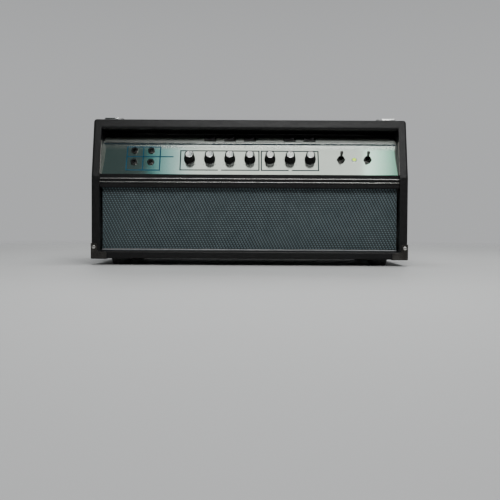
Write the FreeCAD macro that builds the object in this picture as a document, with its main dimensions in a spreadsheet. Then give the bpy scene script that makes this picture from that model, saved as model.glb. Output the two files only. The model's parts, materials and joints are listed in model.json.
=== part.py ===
"""Valve guitar amplifier head: a covered wooden cabinet around a control panel and two steel chassis.

Units are millimetres and degrees. The model stands on z = 0, centred in X and Y, with its front
towards -Y and +Z up. Inside this file a depth is measured back from the front edge of the cabinet,
so each sub-part is drawn with y = 0 at that edge, and its Placement brings it to the centred frame.
"""
import FreeCAD, Part
import math
import os
import re

import Sketcher
from FreeCAD import Placement, Rotation, Vector

DIMS = {
    # Cabinet: sides stand outside the top and bottom panels, and lean back above the bend.
    "cab_width": 610.0,
    "cab_depth": 330.0,
    "cab_top": 284.0,
    "foot_height": 13.0,
    "side_thick": 15.5,
    "top_thick": 19.0,
    "bottom_thick": 15.4,
    "bend_height": 171.0,
    "lean_angle": 15.0,
    "top_round": 6.0,
    "edge_round": 4.0,
    # Front rail with two bright strips, and the grille below it.
    "rail_low": 150.6,
    "rail_top": 176.0,
    "rail_front": 8.0,
    "rail_back": 30.0,
    "strip_height": 3.5,
    "strip_pitch": 6.7,
    "strip_low": 159.0,
    "strip_proud": 2.4,
    "grille_front": 20.0,
    "cloth_thick": 1.2,
    "baffle_thick": 12.0,
    "grille_low": 31.6,
    "grille_top": 150.4,
    "grille_side_gap": 3.0,
    "frame_rail": 36.0,
    "piping_radius": 1.3,
    # Control panel: one aluminium sheet, folded twice.
    "panel_front": 11.0,
    "panel_tilt": 30.0,
    "panel_slope": 75.0,
    "panel_sheet": 1.5,
    "fold_round": 3.0,
    "panel_flange": 34.0,
    "shelf_tilt": 27.0,
    "shelf_slope": 24.0,
    "shelf_return": 5.0,
    "cheek_thick": 1.2,
    # Controls on the panel.
    "control_row": 35.4,
    "knob_pitch": 39.3,
    "knob_base_radius": 11.0,
    "knob_top_radius": 9.0,
    "knob_height": 17.2,
    "knob_gap": 0.8,
    "knob_cap_radius": 7.1,
    "knob_cap_thick": 1.2,
    "cavity_radius": 8.4,
    "cavity_height": 6.4,
    "shaft_radius": 3.0,
    "shaft_clearance": 0.08,
    "bushing_radius": 4.75,
    "bushing_height": 6.0,
    "pot_radius": 12.0,
    "pot_depth": 11.0,
    "nut_flats": 12.7,
    "nut_thick": 2.4,
    "jack_bore_radius": 3.25,
    "jack_rim_radius": 5.6,
    "jack_body_side": 20.0,
    "jack_body_depth": 19.0,
    "toggle_bushing_radius": 5.9,
    "toggle_bushing_height": 6.0,
    "toggle_nut_flats": 14.3,
    "toggle_nut_thick": 2.2,
    "toggle_lever_length": 14.5,
    "toggle_rest_angle": 14.0,
    "lamp_radius": 5.0,
    "lamp_lens_radius": 3.6,
    "lamp_height": 2.8,
    # Rocker switches on the shelf above the panel.
    "rocker_long": 23.6,
    "rocker_wide": 15.0,
    "rocker_bezel": 4.0,
    "rocker_window_long": 20.6,
    "rocker_window_wide": 11.2,
    "rocker_paddle_wide": 10.6,
    "paddle_reach": 9.3,
    "paddle_high": 7.4,
    "paddle_waist": 5.2,
    "paddle_foot": 8.9,
    "paddle_keel": 4.0,
    "paddle_deep": 6.0,
    "rocker_rest_angle": 9.0,
    # Chassis.
    "chassis_sheet": 1.5,
    "preamp_back": 125.0,
    "preamp_top": 236.0,
    "preamp_back_top": 264.5,
    "preamp_side_front": 52.0,
    "power_front": 60.0,
    "power_back": 316.0,
    "power_top": 80.0,
    "power_half_width": 275.0,
    # Transformers and choke, over their end bells; the core is this share of the length.
    "power_transformer_long": 108.0,
    "power_transformer_deep": 112.0,
    "power_transformer_tall": 100.0,
    "output_transformer_long": 96.0,
    "output_transformer_deep": 92.0,
    "output_transformer_tall": 82.0,
    "choke_long": 62.0,
    "choke_deep": 46.0,
    "choke_tall": 48.0,
    "core_share": 0.36,
    "bell_taper": 0.68,
    # Valves on the two chassis.
    "valve_radius": 22.5,
    "valve_base_radius": 17.0,
    "valve_pitch_x": 62.0,
    "valve_pitch_y": 62.0,
    "valve_first_depth": 183.0,
    "glass_thick": 1.5,
    "small_valve_radius": 11.0,
    "small_valve_length": 50.0,
    # Rear.
    "vent_sheet": 1.5,
    "batten_wide": 12.0,
    "batten_deep": 14.0,
    "board_long": 500.0,
    "board_deep": 56.0,
    "board_thick": 1.6,
    "board_front": 60.0,
    "board_lift": 8.0,
    "can_radius": 17.5,
    "can_height": 72.0,
    "inlet_recess_long": 24.0,
    "inlet_recess_tall": 16.6,
    "vent_front": 321.7,
    "vent_low": 84.0,
    "slot_wide": 7.0,
    "slot_tall": 46.0,
    "slot_pitch_x": 20.0,
    "slot_pitch_z": 56.0,
    "fan_side": 119.0,
    "fan_depth": 25.4,
    "fan_bore_radius": 57.0,
    "fan_height": 175.0,
    "fan_hub_radius": 19.0,
    "fan_blade_radius": 54.5,
    # Feet, corners and handles.
    "foot_radius": 19.0,
    "foot_inset_x": 52.0,
    "foot_inset_y": 46.0,
    "guard_size": 29.0,
    "guard_thick": 1.2,
    "guard_bar": 14.0,
    "guard_ear": 12.5,
    "guard_notch_round": 5.0,
    "guard_end_round": 3.0,
    "guard_edge_round": 2.2,
    "guard_round": 7.0,
    "guard_screw_reach": 23.0,
    "handle_x": 275.5,
    "handle_mid": 188.0,
    "handle_span": 214.0,
    "strap_wide": 24.0,
    "strap_thick": 5.0,
    "strap_rise": 10.5,
    "cap_long": 38.0,
    "cap_wide": 29.0,
    "cap_tall": 7.2,
    "cap_round": 3.0,
    # Wood screws and machine screws.
    "screw_head_radius": 3.7,
    "screw_head_tall": 2.0,
    "screw_shank_radius": 1.9,
    "screw_length": 13.0,
    "bolt_radius": 2.0,
    "bolt_length": 9.0,
}

D = DIMS
HALF_WIDTH = D["cab_width"] / 2
GUARD_REACH = D["guard_size"] + D["guard_thick"]
INNER_HALF = HALF_WIDTH - D["side_thick"]
CENTRE_DEPTH = D["cab_depth"] / 2
BOTTOM_TOP = D["foot_height"] + D["bottom_thick"]
TILT = math.radians(D["panel_tilt"])
SHELF = math.radians(D["shelf_tilt"])
PANEL_UP = Vector(0, math.sin(TILT), math.cos(TILT))
PANEL_OUT = Vector(0, -math.cos(TILT), math.sin(TILT))
SHELF_UP = Vector(0, math.cos(SHELF), math.sin(SHELF))
SHELF_OUT = Vector(0, -math.sin(SHELF), math.cos(SHELF))
PANEL_FOOT = Vector(0, D["panel_front"], D["rail_top"])
PANEL_FOLD = PANEL_FOOT + PANEL_UP * D["panel_slope"]

KNOB_X = [D["knob_pitch"] * step for step in (-3, -2, -1, 0, 1, 2, 3)]
ROCKER_X = [D["knob_pitch"] * step for step in (-2, -1, 0, 2, 3)]
ROCKER_UP = 11.5
JACK_X = (-226.0, -193.5)
JACK_UP = (27.9, 54.6)
TOGGLE_X = (178.0, 230.0)
LAMP_X = 204.0
VALVE_X = [D["valve_pitch_x"] * step for step in (-1, 0, 1)]
VALVE_DEPTH = [D["valve_first_depth"] + D["valve_pitch_y"] * step for step in (0, 1)]
SMALL_VALVE_X = (-200.0, -120.0, -40.0, 40.0, 120.0)
SMALL_VALVE_HEIGHT = 214.0
CAN_X = (-235.0, -190.0, -145.0, -100.0)
CAN_DEPTH = 98.0
SPEAKER_X = (130.0, 165.0, 200.0)
SELECTOR_X = 75.0
FUSE_X = -150.0
INLET_X = -215.0
REAR_ROW = 55.0
FOOT_X = HALF_WIDTH - D["foot_inset_x"]
FOOT_DEPTH = (D["foot_inset_y"], D["cab_depth"] - D["foot_inset_y"])
TRANSFORMERS = {
    "power_transformer": Vector(-215, 222, D["power_top"]),
    "output_transformer": Vector(215, 222, D["power_top"]),
    "choke": Vector(215, 112, D["power_top"]),
}

doc = FreeCAD.newDocument("amplifier")
sheet = doc.addObject("Spreadsheet::Sheet", "dims")
nodes = []


def fill_sheet():
    """Write each driving dimension to the sheet, under its own name."""
    for row, (name, value) in enumerate(DIMS.items(), start=1):
        sheet.set(f"A{row}", name)
        sheet.set(f"B{row}", str(value))
        sheet.setAlias(f"B{row}", name)
    doc.recompute()


def formula(text):
    """Turn 'cab_width / 2' into the expression 'dims.cab_width / 2'."""
    return re.sub(r"[a-z]\w+", lambda word: "dims." + word[0] if word[0] in DIMS else word[0], str(text))


def bind(thing, **sizes):
    """Bind an object's properties to sheet cells."""
    for name, text in sizes.items():
        thing.setExpression(name, formula(text))
    return thing


def origin_plane(body, role):
    return next(feature for feature in body.Origin.OriginFeatures if feature.Role == role)


def new_body(name):
    return doc.addObject("PartDesign::Body", name + "_body")


def sketch_on(body, role, name="outline"):
    sketch = body.newObject("Sketcher::SketchObject", name)
    sketch.AttachmentSupport = [(origin_plane(body, role), "")]
    sketch.MapMode = "FlatFace"
    return sketch


def draw_outline(sketch, corners):
    """Draw a closed outline of straight edges whose corners are pairs of formulas."""
    first = sketch.GeometryCount
    count = len(corners)
    turn = 2 * math.pi / count
    ring = [Vector(math.cos(turn * i - 2.3), math.sin(turn * i - 2.3), 0) for i in range(count)]
    for i in range(count):
        sketch.addGeometry(Part.LineSegment(ring[i], ring[(i + 1) % count]), False)
    for i in range(count):
        sketch.addConstraint(Sketcher.Constraint("Coincident", first + i, 2, first + (i + 1) % count, 1))
    for i, corner in enumerate(corners):
        for kind, text, value in zip(("DistanceX", "DistanceY"), corner, ring[i]):
            index = sketch.addConstraint(Sketcher.Constraint(kind, -1, 1, first + i, 1, value))
            sketch.setExpression(f"Constraints[{index}]", formula(text))


def rectangle(x_low, y_low, x_high, y_high):
    return [(x_low, y_low), (x_high, y_low), (x_high, y_high), (x_low, y_high)]


def prism(name, role, outlines, length):
    """Pad one or more outlines, half to each side of an origin plane."""
    body = new_body(name)
    sketch = sketch_on(body, role)
    for corners in outlines:
        draw_outline(sketch, corners)
    pad = body.newObject("PartDesign::Pad", "pad")
    pad.Profile = sketch
    pad.SideType = "Symmetric"
    bind(pad, Length=length)
    return body


def lathe(name, corners):
    """Turn an outline of (radius, height) corners about the local Z axis."""
    body = new_body(name)
    sketch = sketch_on(body, "XZ_Plane")
    draw_outline(sketch, corners)
    turned = body.newObject("PartDesign::Revolution", "turned")
    turned.Profile = sketch
    turned.ReferenceAxis = (sketch, ["V_Axis"])
    turned.Angle = 360
    return body


def box(length, width, height, corner):
    """Make a block from its lowest corner, with sizes given as formulas."""
    block = doc.addObject("Part::Box", "block")
    bind(block, Length=length, Width=width, Height=height)
    block.Placement.Base = corner
    return block


def cylinder(radius, height, place):
    rod = doc.addObject("Part::Cylinder", "rod")
    bind(rod, Radius=radius, Height=height)
    rod.Placement = place
    return rod


def hexagon(flats, height, place):
    nut = doc.addObject("Part::Prism", "hexagon")
    nut.Polygon = 6
    bind(nut, Circumradius=f"{flats} / sqrt(3)", Height=height)
    nut.Placement = place
    return nut


def cut(base, tool):
    result = doc.addObject("Part::Cut", "cut")
    result.Base = base
    result.Tool = tool
    return result


def fuse(pieces):
    result = doc.addObject("Part::MultiFuse", "fused")
    result.Shapes = pieces
    return result


def group(pieces):
    result = doc.addObject("Part::Compound", "group")
    result.Links = pieces
    return result


def put(thing, place):
    thing.Placement = place
    return thing


def finish(thing, label):
    """Give a sub-part its name, and move it from the front-edge frame to the centred one."""
    thing.Label = label
    centre = Placement(Vector(0, -CENTRE_DEPTH, 0), Rotation())
    thing.Placement = centre * thing.Placement
    nodes.append(thing)
    return thing


def lies_on(edge, test):
    """Whether both ends and the middle of an edge pass a test of a point."""
    first, last = edge.ParameterRange
    return all(test(edge.valueAt(first + (last - first) * share)) for share in (0, 0.5, 1))


def round_edges(body, radius, wanted):
    """Round the edges of a body's solid that the wanted test picks."""
    doc.recompute()
    solid = body.Tip
    names = [f"Edge{i}" for i, edge in enumerate(solid.Shape.Edges, start=1) if wanted(edge)]
    rounding = body.newObject("PartDesign::Fillet", "rounding")
    rounding.Base = (solid, names)
    bind(rounding, Radius=radius)
    body.Tip = rounding
    doc.recompute()
    return body


def on_panel(x, up, out=0.0):
    """Place a piece on the control panel with its own Z axis straight out of the panel."""
    spot = PANEL_FOOT + PANEL_UP * up + PANEL_OUT * out
    return Placement(Vector(x, spot.y, spot.z), Rotation(Vector(1, 0, 0), 90 - D["panel_tilt"]))


def on_shelf(x, up, out=0.0):
    """Place a piece on the switch shelf with its own Z axis straight out of the shelf."""
    spot = PANEL_FOLD + SHELF_UP * up + SHELF_OUT * out
    return Placement(Vector(x, spot.y, spot.z), Rotation(Vector(1, 0, 0), D["shelf_tilt"]))


def at(x, depth, height):
    """Place a piece upright."""
    return Placement(Vector(x, depth, height), Rotation())


def facing(x, depth, height, axis, angle):
    """Place a piece with its own Z axis turned about a row axis."""
    return Placement(Vector(x, depth, height), Rotation(axis, angle))


TO_REAR = (Vector(1, 0, 0), -90)
TO_FRONT = (Vector(1, 0, 0), 90)
TO_RIGHT = (Vector(0, 1, 0), 90)
TO_LEFT = (Vector(0, 1, 0), -90)


# Cabinet

def lean_depth(height):
    """Formula for the depth of the leaning front edge at a height."""
    return f"({height} - bend_height) * tan(lean_angle * 1 deg)"


def on_end_face(point):
    """Whether a point is on the upright front, the leaning front or the back of the cabinet."""
    lean = (point.z - D["bend_height"]) * math.tan(math.radians(D["lean_angle"]))
    front = lean if point.z > D["bend_height"] else 0
    return abs(point.y - front) < 0.01 or abs(point.y - D["cab_depth"]) < 0.01


def side_panel(label, sign):
    outline = [
        ("0", "foot_height"), ("cab_depth", "foot_height"), ("cab_depth", "cab_top"),
        (lean_depth("cab_top"), "cab_top"), ("0", "bend_height"),
    ]
    body = prism(label, "YZ_Plane", [outline], "side_thick")
    outer = sign * D["side_thick"] / 2

    def along_top(edge):
        return lies_on(edge, lambda p: abs(p.x - outer) < 0.01 and abs(p.z - D["cab_top"]) < 0.01)

    def is_inner(edge):
        return lies_on(edge, lambda p: abs(p.x + outer) < 0.01)

    def is_bend(edge):
        return lies_on(edge, lambda p: abs(p.z - D["bend_height"]) < 0.01)

    round_edges(body, "top_round", along_top)
    round_edges(body, "edge_round", lambda e: lies_on(e, on_end_face) and not is_inner(e) and not is_bend(e))
    body.Placement.Base = Vector(sign * (HALF_WIDTH - D["side_thick"] / 2), 0, 0)
    finish(body, label)


def runs_across_end(edge):
    """Whether an edge runs from side to side along the front or the back."""
    return lies_on(edge, on_end_face) and edge.BoundBox.XLength > 1


def top_panel():
    low = "cab_top - top_thick"
    outline = [
        (lean_depth(low), low), ("cab_depth", low),
        ("cab_depth", "cab_top"), (lean_depth("cab_top"), "cab_top"),
    ]
    body = prism("top_panel", "YZ_Plane", [outline], "cab_width - 2 * side_thick")
    round_edges(body, "edge_round", runs_across_end)
    finish(body, "top_panel")


def bottom_panel():
    outline = rectangle("0", "foot_height", "cab_depth", "foot_height + bottom_thick")
    body = prism("bottom_panel", "YZ_Plane", [outline], "cab_width - 2 * side_thick")
    round_edges(body, "edge_round", runs_across_end)
    finish(body, "bottom_panel")


def front_rail():
    """Rail below the control panel, with a groove for each bright strip."""
    outline = [("rail_front", "rail_low")]
    for index in (0, 1):
        low = f"strip_low + {index} * strip_pitch"
        outline += [
            ("rail_front", low), ("rail_front + 2", low),
            ("rail_front + 2", f"{low} + strip_height"), ("rail_front", f"{low} + strip_height"),
        ]
    outline += [("rail_front", "rail_top"), ("rail_back", "rail_top"), ("rail_back", "rail_low")]
    finish(prism("front_rail", "YZ_Plane", [outline], "cab_width - 2 * side_thick"), "front_rail")


def trim_strips():
    strips = []
    for index in (0, 1):
        low = D["strip_low"] + index * D["strip_pitch"]
        corner = Vector(-INNER_HALF, D["rail_front"] - D["strip_proud"], low)
        strips.append(box("cab_width - 2 * side_thick", "strip_proud + 2", "strip_height", corner))
    finish(group(strips), "trim_strips")


def grille():
    """Wooden frame with an opening, cloth stretched over its face, and a bead of piping below."""
    half = "cab_width / 2 - side_thick - grille_side_gap"
    outer = rectangle(f"-({half})", "grille_low", half, "grille_top")
    hole = rectangle(
        f"-({half} - frame_rail)", "grille_low + frame_rail * 0.6",
        f"{half} - frame_rail", "grille_top - frame_rail * 0.6",
    )
    frame = prism("grille_frame", "XZ_Plane", [outer, hole], "baffle_thick")
    back = D["grille_front"] + D["cloth_thick"]
    finish(put(frame, at(0, back + D["baffle_thick"] / 2, 0)), "grille_frame")
    cloth = prism("grille_cloth", "XZ_Plane", [outer], "cloth_thick")
    finish(put(cloth, at(0, D["grille_front"] + D["cloth_thick"] / 2, 0)), "grille_cloth")
    half_length = INNER_HALF - D["grille_side_gap"]
    height = BOTTOM_TOP + D["piping_radius"]
    place = facing(-half_length, D["grille_front"] - 1, height, *TO_RIGHT)
    bead = cylinder("piping_radius", "cab_width - 2 * (side_thick + grille_side_gap)", place)
    finish(bead, "grille_piping")


def corner_guards():
    """Metal guard over each bottom corner. Its two upright leaves are notched to an L, an ear over a bar."""
    guards = []
    thick = D["guard_thick"]
    size = "guard_size + guard_thick"
    for side in (-1, 1):
        for rear in (False, True):
            depth = D["cab_depth"] + thick if rear else -thick
            corner = Vector(side * (HALF_WIDTH + thick), depth, D["foot_height"] - thick)
            inward = Vector(-side, -1 if rear else 1, 1)
            block = box(size, size, size, low_corner(corner, inward, GUARD_REACH))
            shell = rounded(block, "guard_edge_round", meets_corner(corner))
            core_low = low_corner(corner + inward * thick, inward, D["guard_size"])
            core = box("guard_size", "guard_size", "guard_size", core_low)
            leaves = cut(shell, group([core, *guard_notches(corner, inward)]))
            leaves = rounded(leaves, "guard_end_round", is_leaf_end(corner))
            guards.append(rounded(leaves, "guard_round", is_foot_corner(corner)))
    holes = [hole_tool("screw_shank_radius + 0.1", place) for place in guard_screw_places()]
    finish(cut(group(guards), group(holes)), "corner_guards")


def low_corner(corner, inward, reach):
    """Lowest corner of a box that runs a distance inward from a corner along each axis."""
    return Vector(*(corner[axis] - (reach if inward[axis] < 0 else 0) for axis in range(3)))


def guard_notches(corner, inward):
    """Cutters for the notches of the two upright leaves, with their inner corners rounded."""
    notches = []
    for across, through in ((0, 1), (1, 0)):
        start = Vector(corner.x, corner.y, corner.z + D["guard_bar"])
        start[across] += inward[across] * D["guard_ear"]
        low = low_corner(start, inward, D["guard_size"])
        low[through] = corner[through] - D["guard_size"] / 2
        tool = box("guard_size", "guard_size", "guard_size", low)
        notches.append(rounded(tool, "guard_notch_round", runs_along(through)))
    return notches


def runs_along(axis):
    """Test for the edges of a box that run along one axis."""
    return lambda edge, shape: abs(edge.tangentAt(edge.FirstParameter)[axis]) > 0.99


def away_from(corner, edge):
    """How far the middle of an edge is from a guard's outer corner, along each axis."""
    middle = edge.CenterOfMass
    return [abs(middle[axis] - corner[axis]) for axis in range(3)]


def meets_corner(corner):
    """Test for the three edges that meet at a guard's outer corner."""
    return lambda edge, shape: sum(distance < 0.01 for distance in away_from(corner, edge)) == 2


def is_leaf_end(corner):
    """Test for the short edges at the free ends of a guard's ears and bars."""
    ends = [(D["guard_ear"], GUARD_REACH), (GUARD_REACH, D["guard_bar"])]

    def wanted(edge, shape):
        x, y, up = away_from(corner, edge)
        is_end = any(
            math.hypot(across - end[0], up - end[1]) < 0.01 for across in (x, y) for end in ends
        )
        return is_end and abs(edge.Length - D["guard_thick"]) < 0.01

    return wanted


def is_foot_corner(corner):
    """Test for the free corner of the leaf under the cabinet."""
    def wanted(edge, shape):
        x, y, _ = away_from(corner, edge)
        return abs(x - GUARD_REACH) < 0.01 and abs(y - GUARD_REACH) < 0.01

    return wanted


def rounded(thing, radius, wanted):
    """Round the edges of a primitive or a boolean that the wanted test picks."""
    doc.recompute()
    rounding = doc.addObject("Part::Fillet", "rounding")
    rounding.Base = thing
    size = D[radius]
    edges = enumerate(thing.Shape.Edges, start=1)
    rounding.Edges = [(i, size, size) for i, edge in edges if wanted(edge, thing.Shape)]
    return rounding


def hole_tool(radius, place):
    """Cutter for a screw hole, 12 mm to each side of the screw head's seat."""
    return cylinder(radius, "24", place * Placement(Vector(0, 0, -12), Rotation()))


def guard_screw_places():
    """Seat of each guard screw, its own Z axis out of the cabinet: one in a bar, one in an ear."""
    places = []
    out = D["guard_thick"]
    low = D["foot_height"] - out
    reach = D["guard_screw_reach"] - out
    for sign in (-1, 1):
        for rear in (0, 1):
            depth = D["cab_depth"] - reach if rear else reach
            face = D["cab_depth"] + out if rear else -out
            side_turn = TO_RIGHT if sign > 0 else TO_LEFT
            end_turn = TO_REAR if rear else TO_FRONT
            bar_middle = low + D["guard_bar"] / 2
            places.append(facing(sign * (HALF_WIDTH + out), depth, bar_middle, *side_turn))
            ear_middle = HALF_WIDTH + out - D["guard_ear"] / 2
            places.append(facing(sign * ear_middle, face, low + D["guard_screw_reach"], *end_turn))
    return places


def screw(head_radius, head_tall, shank_radius, length, place):
    """Pan-head screw whose head rests on the place and whose shank runs down its own Z axis."""
    head = doc.addObject("Part::Cone", "head")
    bind(head, Radius1=head_radius, Radius2=f"{head_radius} * 0.62", Height=head_tall)
    shank = cylinder(shank_radius, length, at(0, 0, -D[length]))
    return put(fuse([head, shank]), place)


def wood_screws():
    """One kind of screw for the guards, the feet, the handles and the rear vent."""
    places = guard_screw_places()
    places += foot_screw_places() + handle_screw_places() + vent_screw_places()
    sizes = ("screw_head_radius", "screw_head_tall", "screw_shank_radius", "screw_length")
    finish(group([screw(*sizes, place) for place in places]), "wood_screws")


# Feet and handles

def foot_places():
    return [(sign * FOOT_X, depth) for sign in (-1, 1) for depth in FOOT_DEPTH]


def foot_screw_places():
    turn = (Vector(1, 0, 0), 180)
    seat = D["foot_height"] * 0.6
    return [facing(x, depth, seat, *turn) for x, depth in foot_places()]


def rubber_feet():
    """Tapered rubber foot with a recess that hides its screw's head."""
    feet = []
    for x, depth in foot_places():
        foot = lathe("foot", [
            ("5", "0"), ("foot_radius - 3", "0"), ("foot_radius", "foot_height * 0.75"),
            ("foot_radius", "foot_height"), ("screw_shank_radius + 0.2", "foot_height"),
            ("screw_shank_radius + 0.2", "foot_height * 0.6"), ("5", "foot_height * 0.6"),
        ])
        feet.append(put(foot, at(x, depth, 0)))
    finish(group(feet), "rubber_feet")


def handle_ends():
    """Centre of each handle end cap, as x, depth and the sign that points along the strap."""
    half = D["handle_span"] / 2
    ends = []
    for side in (-1, 1):
        ends.append((side * D["handle_x"], D["handle_mid"] - half, 1))
        ends.append((side * D["handle_x"], D["handle_mid"] + half, -1))
    return ends


def handle_screw_places():
    return [at(x, depth, D["cab_top"] + D["cap_tall"]) for x, depth, _ in handle_ends()]


def handle_end_caps():
    """Bright cover over each end of a strap, open towards the strap."""
    caps = []
    for x, depth, sign in handle_ends():
        corner = Vector(x - D["cap_wide"] / 2, depth - D["cap_long"] / 2, D["cab_top"])
        cover = box("cap_wide", "cap_long", "cap_tall", corner)
        top = D["cab_top"] + D["cap_tall"]
        cover = rounded(cover, "cap_round", lambda edge, shape: edge.BoundBox.ZMax > top - 0.01)
        inner_y = corner.y + 2 if sign > 0 else corner.y - 2
        inner = Vector(x - D["strap_wide"] / 2 - 0.3, inner_y, D["cab_top"])
        space = box("strap_wide + 0.6", "cap_long", "strap_thick + 0.2", inner)
        hole = hole_tool("screw_shank_radius + 0.1", at(x, depth, top))
        caps.append(cut(cover, group([space, hole])))
    finish(group(caps), "handle_end_caps")


def handle_straps():
    """Strap handle that lies flat under its end caps and rises between them."""
    half = "handle_span / 2 + cap_long / 2 - 3"
    flat = "handle_span / 2 - cap_long / 2 - 2"
    crown = "handle_span / 4"
    under = [
        (f"-({half})", "0"), (f"-({flat})", "0"), (f"-{crown}", "strap_rise"),
        (crown, "strap_rise"), (flat, "0"), (half, "0"),
    ]
    over = [(along, f"{height} + strap_thick") for along, height in reversed(under)]
    straps = []
    for side in (-1, 1):
        strap = prism("strap", "YZ_Plane", [under + over], "strap_wide")
        put(strap, at(side * D["handle_x"], D["handle_mid"], D["cab_top"]))
        holes = [
            hole_tool("screw_shank_radius + 0.1", at(x, depth, D["cab_top"]))
            for x, depth, _ in handle_ends() if x * side > 0
        ]
        straps.append(cut(strap, group(holes)))
    finish(group(straps), "handle_straps")


# Control panel and what it carries

def control_panel():
    """Folded sheet: a flange on the rail, the leaning panel, and the shelf with its return lip."""
    cos_tilt = "cos(panel_tilt * 1 deg)"
    sin_tilt = "sin(panel_tilt * 1 deg)"
    cos_shelf = "cos(shelf_tilt * 1 deg)"
    sin_shelf = "sin(shelf_tilt * 1 deg)"
    fold_y = f"panel_front + panel_slope * {sin_tilt}"
    fold_z = f"rail_top + panel_slope * {cos_tilt}"
    lip_y = f"{fold_y} + shelf_slope * {cos_shelf}"
    lip_z = f"{fold_z} + shelf_slope * {sin_shelf}"
    low_corner = f"panel_front + panel_sheet * ({sin_tilt} + 1) / {cos_tilt}"
    bend = "tan((90 - panel_tilt - shelf_tilt) / 2 * 1 deg)"
    inner_y = f"{fold_y} + panel_sheet * ({cos_tilt} - {sin_tilt} * {bend})"
    inner_z = f"{fold_z} - panel_sheet * ({sin_tilt} + {cos_tilt} * {bend})"
    inner_lip_z = f"{lip_z} - panel_sheet * (1 + {sin_shelf}) / {cos_shelf}"
    outline = [
        ("panel_front", "rail_top"), (fold_y, fold_z), (lip_y, lip_z),
        (lip_y, f"{lip_z} - shelf_return"), (f"{lip_y} - panel_sheet", f"{lip_z} - shelf_return"),
        (f"{lip_y} - panel_sheet", inner_lip_z), (inner_y, inner_z),
        (low_corner, "rail_top + panel_sheet"),
        ("panel_front + panel_flange", "rail_top + panel_sheet"),
        ("panel_front + panel_flange", "rail_top"),
    ]
    length = "cab_width - 2 * (side_thick + cheek_thick)"
    folded = prism("control_panel", "YZ_Plane", [outline], length)
    bend_share = math.tan((math.pi / 2 - TILT - SHELF) / 2)
    inner_fold = PANEL_FOLD - PANEL_OUT * D["panel_sheet"] - PANEL_UP * (D["panel_sheet"] * bend_share)
    round_edges(folded, "fold_round", lambda e: lies_on(e, near_line(PANEL_FOLD)))
    round_edges(folded, "fold_round - panel_sheet", lambda e: lies_on(e, near_line(inner_fold)))
    row = D["control_row"]
    holes = [hole_tool("bushing_radius + 0.1", on_panel(x, row)) for x in KNOB_X]
    holes += [hole_tool("bushing_radius + 0.1", on_panel(x, up)) for x in JACK_X for up in JACK_UP]
    holes += [hole_tool("toggle_bushing_radius + 0.1", on_panel(x, row)) for x in TOGGLE_X]
    holes.append(hole_tool("lamp_radius - 0.5", on_panel(LAMP_X, row)))
    holes += [rocker_block("rocker_long - 2", "rocker_wide - 2", "20", x, -12) for x in ROCKER_X]
    finish(cut(folded, group(holes)), "control_panel")


def near_line(spot):
    """Test for a point on the line through a spot that runs from side to side."""
    return lambda point: math.hypot(point.y - spot.y, point.z - spot.z) < 0.01


def rocker_block(length, width, height, x, out):
    """Block centred on a rocker switch, standing from a distance out of the shelf."""
    block = doc.addObject("Part::Box", "block")
    bind(block, Length=length, Width=width, Height=height)
    doc.recompute()
    centre = Placement(Vector(-block.Length.Value / 2, -block.Width.Value / 2, out), Rotation())
    return put(block, on_shelf(x, ROCKER_UP) * centre)


def panel_cheeks():
    """Bright plate that closes each end of the recess between the panel and the leaning edge."""
    sin_tilt = "sin(panel_tilt * 1 deg)"
    fold_y = f"panel_front + panel_slope * {sin_tilt}"
    fold_z = "rail_top + panel_slope * cos(panel_tilt * 1 deg)"
    outline = [
        (f"2 + {lean_depth('rail_top')}", "rail_top"), ("panel_front - 0.3", "rail_top"),
        (f"{fold_y} - 0.3", fold_z), (f"2 + {lean_depth(fold_z)}", fold_z),
    ]
    cheeks = []
    for sign in (-1, 1):
        cheek = prism("cheek", "YZ_Plane", [outline], "cheek_thick")
        cheek.Placement.Base = Vector(sign * (INNER_HALF - D["cheek_thick"] / 2), 0, 0)
        cheeks.append(cheek)
    finish(group(cheeks), "panel_cheeks")


def potentiometers():
    """Turned can behind the panel with a hollow bushing that the shaft turns in."""
    bore = "shaft_radius + shaft_clearance"
    pots = []
    for x in KNOB_X:
        pot = lathe("pot", [
            ("0", "-panel_sheet - pot_depth"), ("pot_radius", "-panel_sheet - pot_depth"),
            ("pot_radius", "-panel_sheet"), ("bushing_radius", "-panel_sheet"),
            ("bushing_radius", "bushing_height"), (bore, "bushing_height"),
            (bore, "-panel_sheet - 2"), ("0", "-panel_sheet - 2"),
        ])
        pots.append(put(pot, on_panel(x, D["control_row"])))
    finish(group(pots), "potentiometers")


def knob(index, x):
    """Knob with a hollow underside, its metal cap and the potentiometer shaft that it grips."""
    moulding = lathe("knob", [
        ("cavity_radius", "knob_gap"), ("knob_base_radius", "knob_gap"),
        ("knob_base_radius", "knob_gap + 4"), ("knob_top_radius", "knob_height"),
        ("knob_cap_radius", "knob_height"), ("knob_cap_radius", "knob_height - knob_cap_thick / 2"),
        ("0", "knob_height - knob_cap_thick / 2"), ("0", "knob_height - 3"),
        ("shaft_radius", "knob_height - 3"), ("shaft_radius", "knob_gap + cavity_height"),
        ("cavity_radius", "knob_gap + cavity_height"),
    ])
    cap_low = "knob_height - knob_cap_thick / 2"
    cap_top = "knob_height + knob_cap_thick / 2"
    cap = lathe("knob_cap", [
        ("0", cap_low), ("knob_cap_radius", cap_low), ("knob_cap_radius", f"{cap_top} - 0.4"),
        ("knob_cap_radius - 0.4", cap_top), ("0", cap_top),
    ])
    shaft = lathe("shaft", [
        ("0", "-1.5"), ("shaft_radius", "-1.5"), ("shaft_radius", "knob_height - 3"),
        ("0", "knob_height - 3"),
    ])
    finish(put(group([moulding, cap, shaft]), on_panel(x, D["control_row"])), f"knob_{index}")


def hex_nut(flats, thick, bore, place):
    tool = cylinder(bore, "8", Placement(Vector(0, 0, -4), Rotation()))
    return put(cut(hexagon(flats, thick, Placement()), tool), place)


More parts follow.
